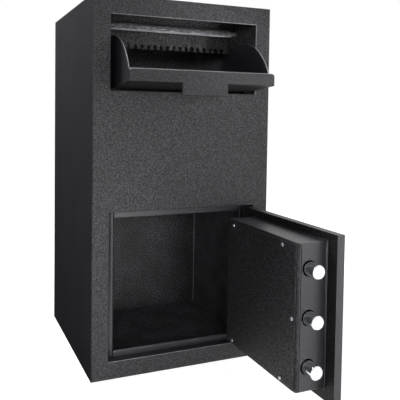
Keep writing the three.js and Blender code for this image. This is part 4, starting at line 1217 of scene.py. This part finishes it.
@dataclass
class Studio:
    """Camera, lamps, world and floor.

    Attributes:
        place: where the camera stands, found by fitting the safe's edges to the photograph.
        turn: how it is turned about x, y and z, in degrees.
        lens: its focal length, in millimetres.
        sensor: the width of its picture, in millimetres.
        shift: how far its picture is shifted across and up, as shares of its width.
        nearest: what is nearer isn't seen.
        soft: the world's light.
        floor_size: the side of the floor.
        floor_paint: the floor's colour, the same in red, green and blue.
        glow: the floor's own light near the safe and away from it.
        glow_reach: from where to where it grows.
        felt: the cards' sRGB hex colour.
        card_x: where the standing card is, and how far the lying one reaches.
        card_y: where both begin and end.
        card_height: the height of the standing card.
    """

    place: tuple[float, float, float] = (-0.41996, -1.09638, 0.47678)
    turn: tuple[float, float, float] = (87.71187, -0.68117, -21.53066)
    lens: float = 49.2687
    sensor: float = 36.0
    shift: tuple[float, float] = (0.103478, -0.159421)
    nearest: float = 10 * MM
    soft: float = 0.15
    floor_size: float = 12.0
    floor_paint: float = 0.4
    glow: tuple[float, float] = (0.93, 1.0)
    glow_reach: tuple[float, float] = (0.4, 0.9)
    felt: int = 0x1A1A1A
    card_x: float = -0.85
    card_y: tuple[float, float] = (-0.2, 3.0)
    card_height: float = 2.1

    def build(self) -> None:
        """Sets up everything that isn't the safe."""
        self.camera()
        self.world()
        self.floor()
        self.cards()
        for lamp in LAMPS:
            lamp.build()
        bpy.context.scene.view_settings.view_transform = "Standard"

    def camera(self) -> None:
        """Makes the camera at the photograph's place."""
        data = bpy.data.cameras.new("camera")
        data.lens = self.lens
        data.sensor_width = self.sensor
        data.shift_x, data.shift_y = self.shift
        data.clip_start = self.nearest
        camera = add_object("camera", data)
        camera.location = self.place
        camera.rotation_euler = Euler([math.radians(a) for a in self.turn], "XYZ")
        bpy.context.scene.camera = camera

    @staticmethod
    def sheet(name: str, turn: Matrix) -> bpy.types.Object:
        """Makes a flat sheet that belongs to the studio.

        Args:
            name: its name.
            turn: its size, turn and place, from a square of one metre.

        Returns:
            The sheet.
        """
        shape = Shape()
        bmesh.ops.create_grid(shape.mesh, x_segments=1, y_segments=1, size=0.5, matrix=turn)
        sheet = add_object(name, shape.spent(name))
        return sheet

    def cards(self) -> None:
        """Stands one black card left of the safe and lays one on the floor, both unseen by the camera."""
        material = bpy.data.materials.new("black_felt")
        tree = bare_tree(material)
        felt = add_node(tree, "ShaderNodeBsdfDiffuse", {"Color": linear(self.felt)})
        add_node(tree, "ShaderNodeOutputMaterial", {"Surface": felt.outputs["BSDF"]})
        front, back = self.card_y
        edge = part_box("left_wall")[0].x - STEP
        upright = Vector((self.card_x, (front + back) / 2, self.card_height / 2))
        flat = Vector(((self.card_x + edge) / 2, upright.y, STEP))
        sizes = Matrix.Diagonal((self.card_height, back - front, 1.0, 1.0))
        standing = Matrix.Translation(upright) @ Matrix.Rotation(math.pi / 2, 4, "Y") @ sizes
        lying = Matrix.Translation(flat) @ Matrix.Diagonal((edge - self.card_x, back - front, 1.0, 1.0))
        for name, turn in (("black_card", standing), ("black_floor_card", lying)):
            card = self.sheet(name, turn)
            card.data.materials.append(material)
            card.visible_camera = False
            card.visible_shadow = turn is standing

    def world(self) -> None:
        """Makes the world white where it is seen, and soft grey where it lights."""
        world = bpy.data.worlds.new("studio_world")
        bpy.context.scene.world = world
        tree = bare_tree(world)
        white, soft = (
            add_node(tree, "ShaderNodeBackground", {"Color": (1, 1, 1, 1), "Strength": strength}).outputs[0]
            for strength in (1.0, self.soft)
        )
        mixed = add_node(tree, "ShaderNodeMixShader", {0: self.seen(tree), 1: soft, 2: white})
        add_node(tree, "ShaderNodeOutputWorld", {"Surface": mixed.outputs["Shader"]})

    @staticmethod
    def seen(tree: Tree) -> Socket:
        """Gives 1 for rays of the camera, of gloss and of glass, and 0 for rays that light.

        Args:
            tree: the nodes to add to.

        Returns:
            The socket.
        """
        path = add_node(tree, "ShaderNodeLightPath").outputs
        value = path["Is Camera Ray"]
        for other in ("Is Glossy Ray", "Is Transmission Ray"):
            pair = {0: value, 1: path[other]}
            value = add_node(tree, "ShaderNodeMath", pair, operation="MAXIMUM").outputs[0]
        return value

    def floor(self) -> None:
        """Lays a pale floor that shows white, and keeps a faint shadow close to the safe."""
        floor = self.sheet("studio_floor", Matrix.Scale(self.floor_size, 4))
        material = bpy.data.materials.new("white_floor")
        tree = bare_tree(material)
        place = add_node(tree, "ShaderNodeTexCoord").outputs["Object"]
        away = add_node(tree, "ShaderNodeVectorMath", {0: place}, operation="LENGTH").outputs["Value"]
        span = dict(zip(("From Min", "From Max", "To Min", "To Max"), (*self.glow_reach, *self.glow)))
        glow = add_node(tree, "ShaderNodeMapRange", {"Value": away, **span}).outputs["Result"]
        grey = (self.floor_paint,) * 3 + (1.0,)
        paint = add_node(tree, "ShaderNodeBsdfDiffuse", {"Color": grey}).outputs[0]
        shine = add_node(tree, "ShaderNodeEmission", {"Color": (1, 1, 1, 1), "Strength": glow}).outputs[0]
        lit = add_node(tree, "ShaderNodeAddShader", {0: paint, 1: shine}).outputs[0]
        mixed = add_node(tree, "ShaderNodeMixShader", {0: self.seen(tree), 1: paint, 2: lit})
        add_node(tree, "ShaderNodeOutputMaterial", {"Surface": mixed.outputs["Shader"]})
        floor.data.materials.append(material)


def main() -> None:
    """Builds the safe and the studio around it."""
    logging.basicConfig(level=logging.INFO, format="%(message)s")
    for kind in (Studio, Cabinet, DoorFrame, Chute, Hopper, DoorLeaf, Boltwork, Handle, Keypad):
        log.info("-- %s", kind.__name__)
        kind().build()


if __name__ == "__main__":
    main()
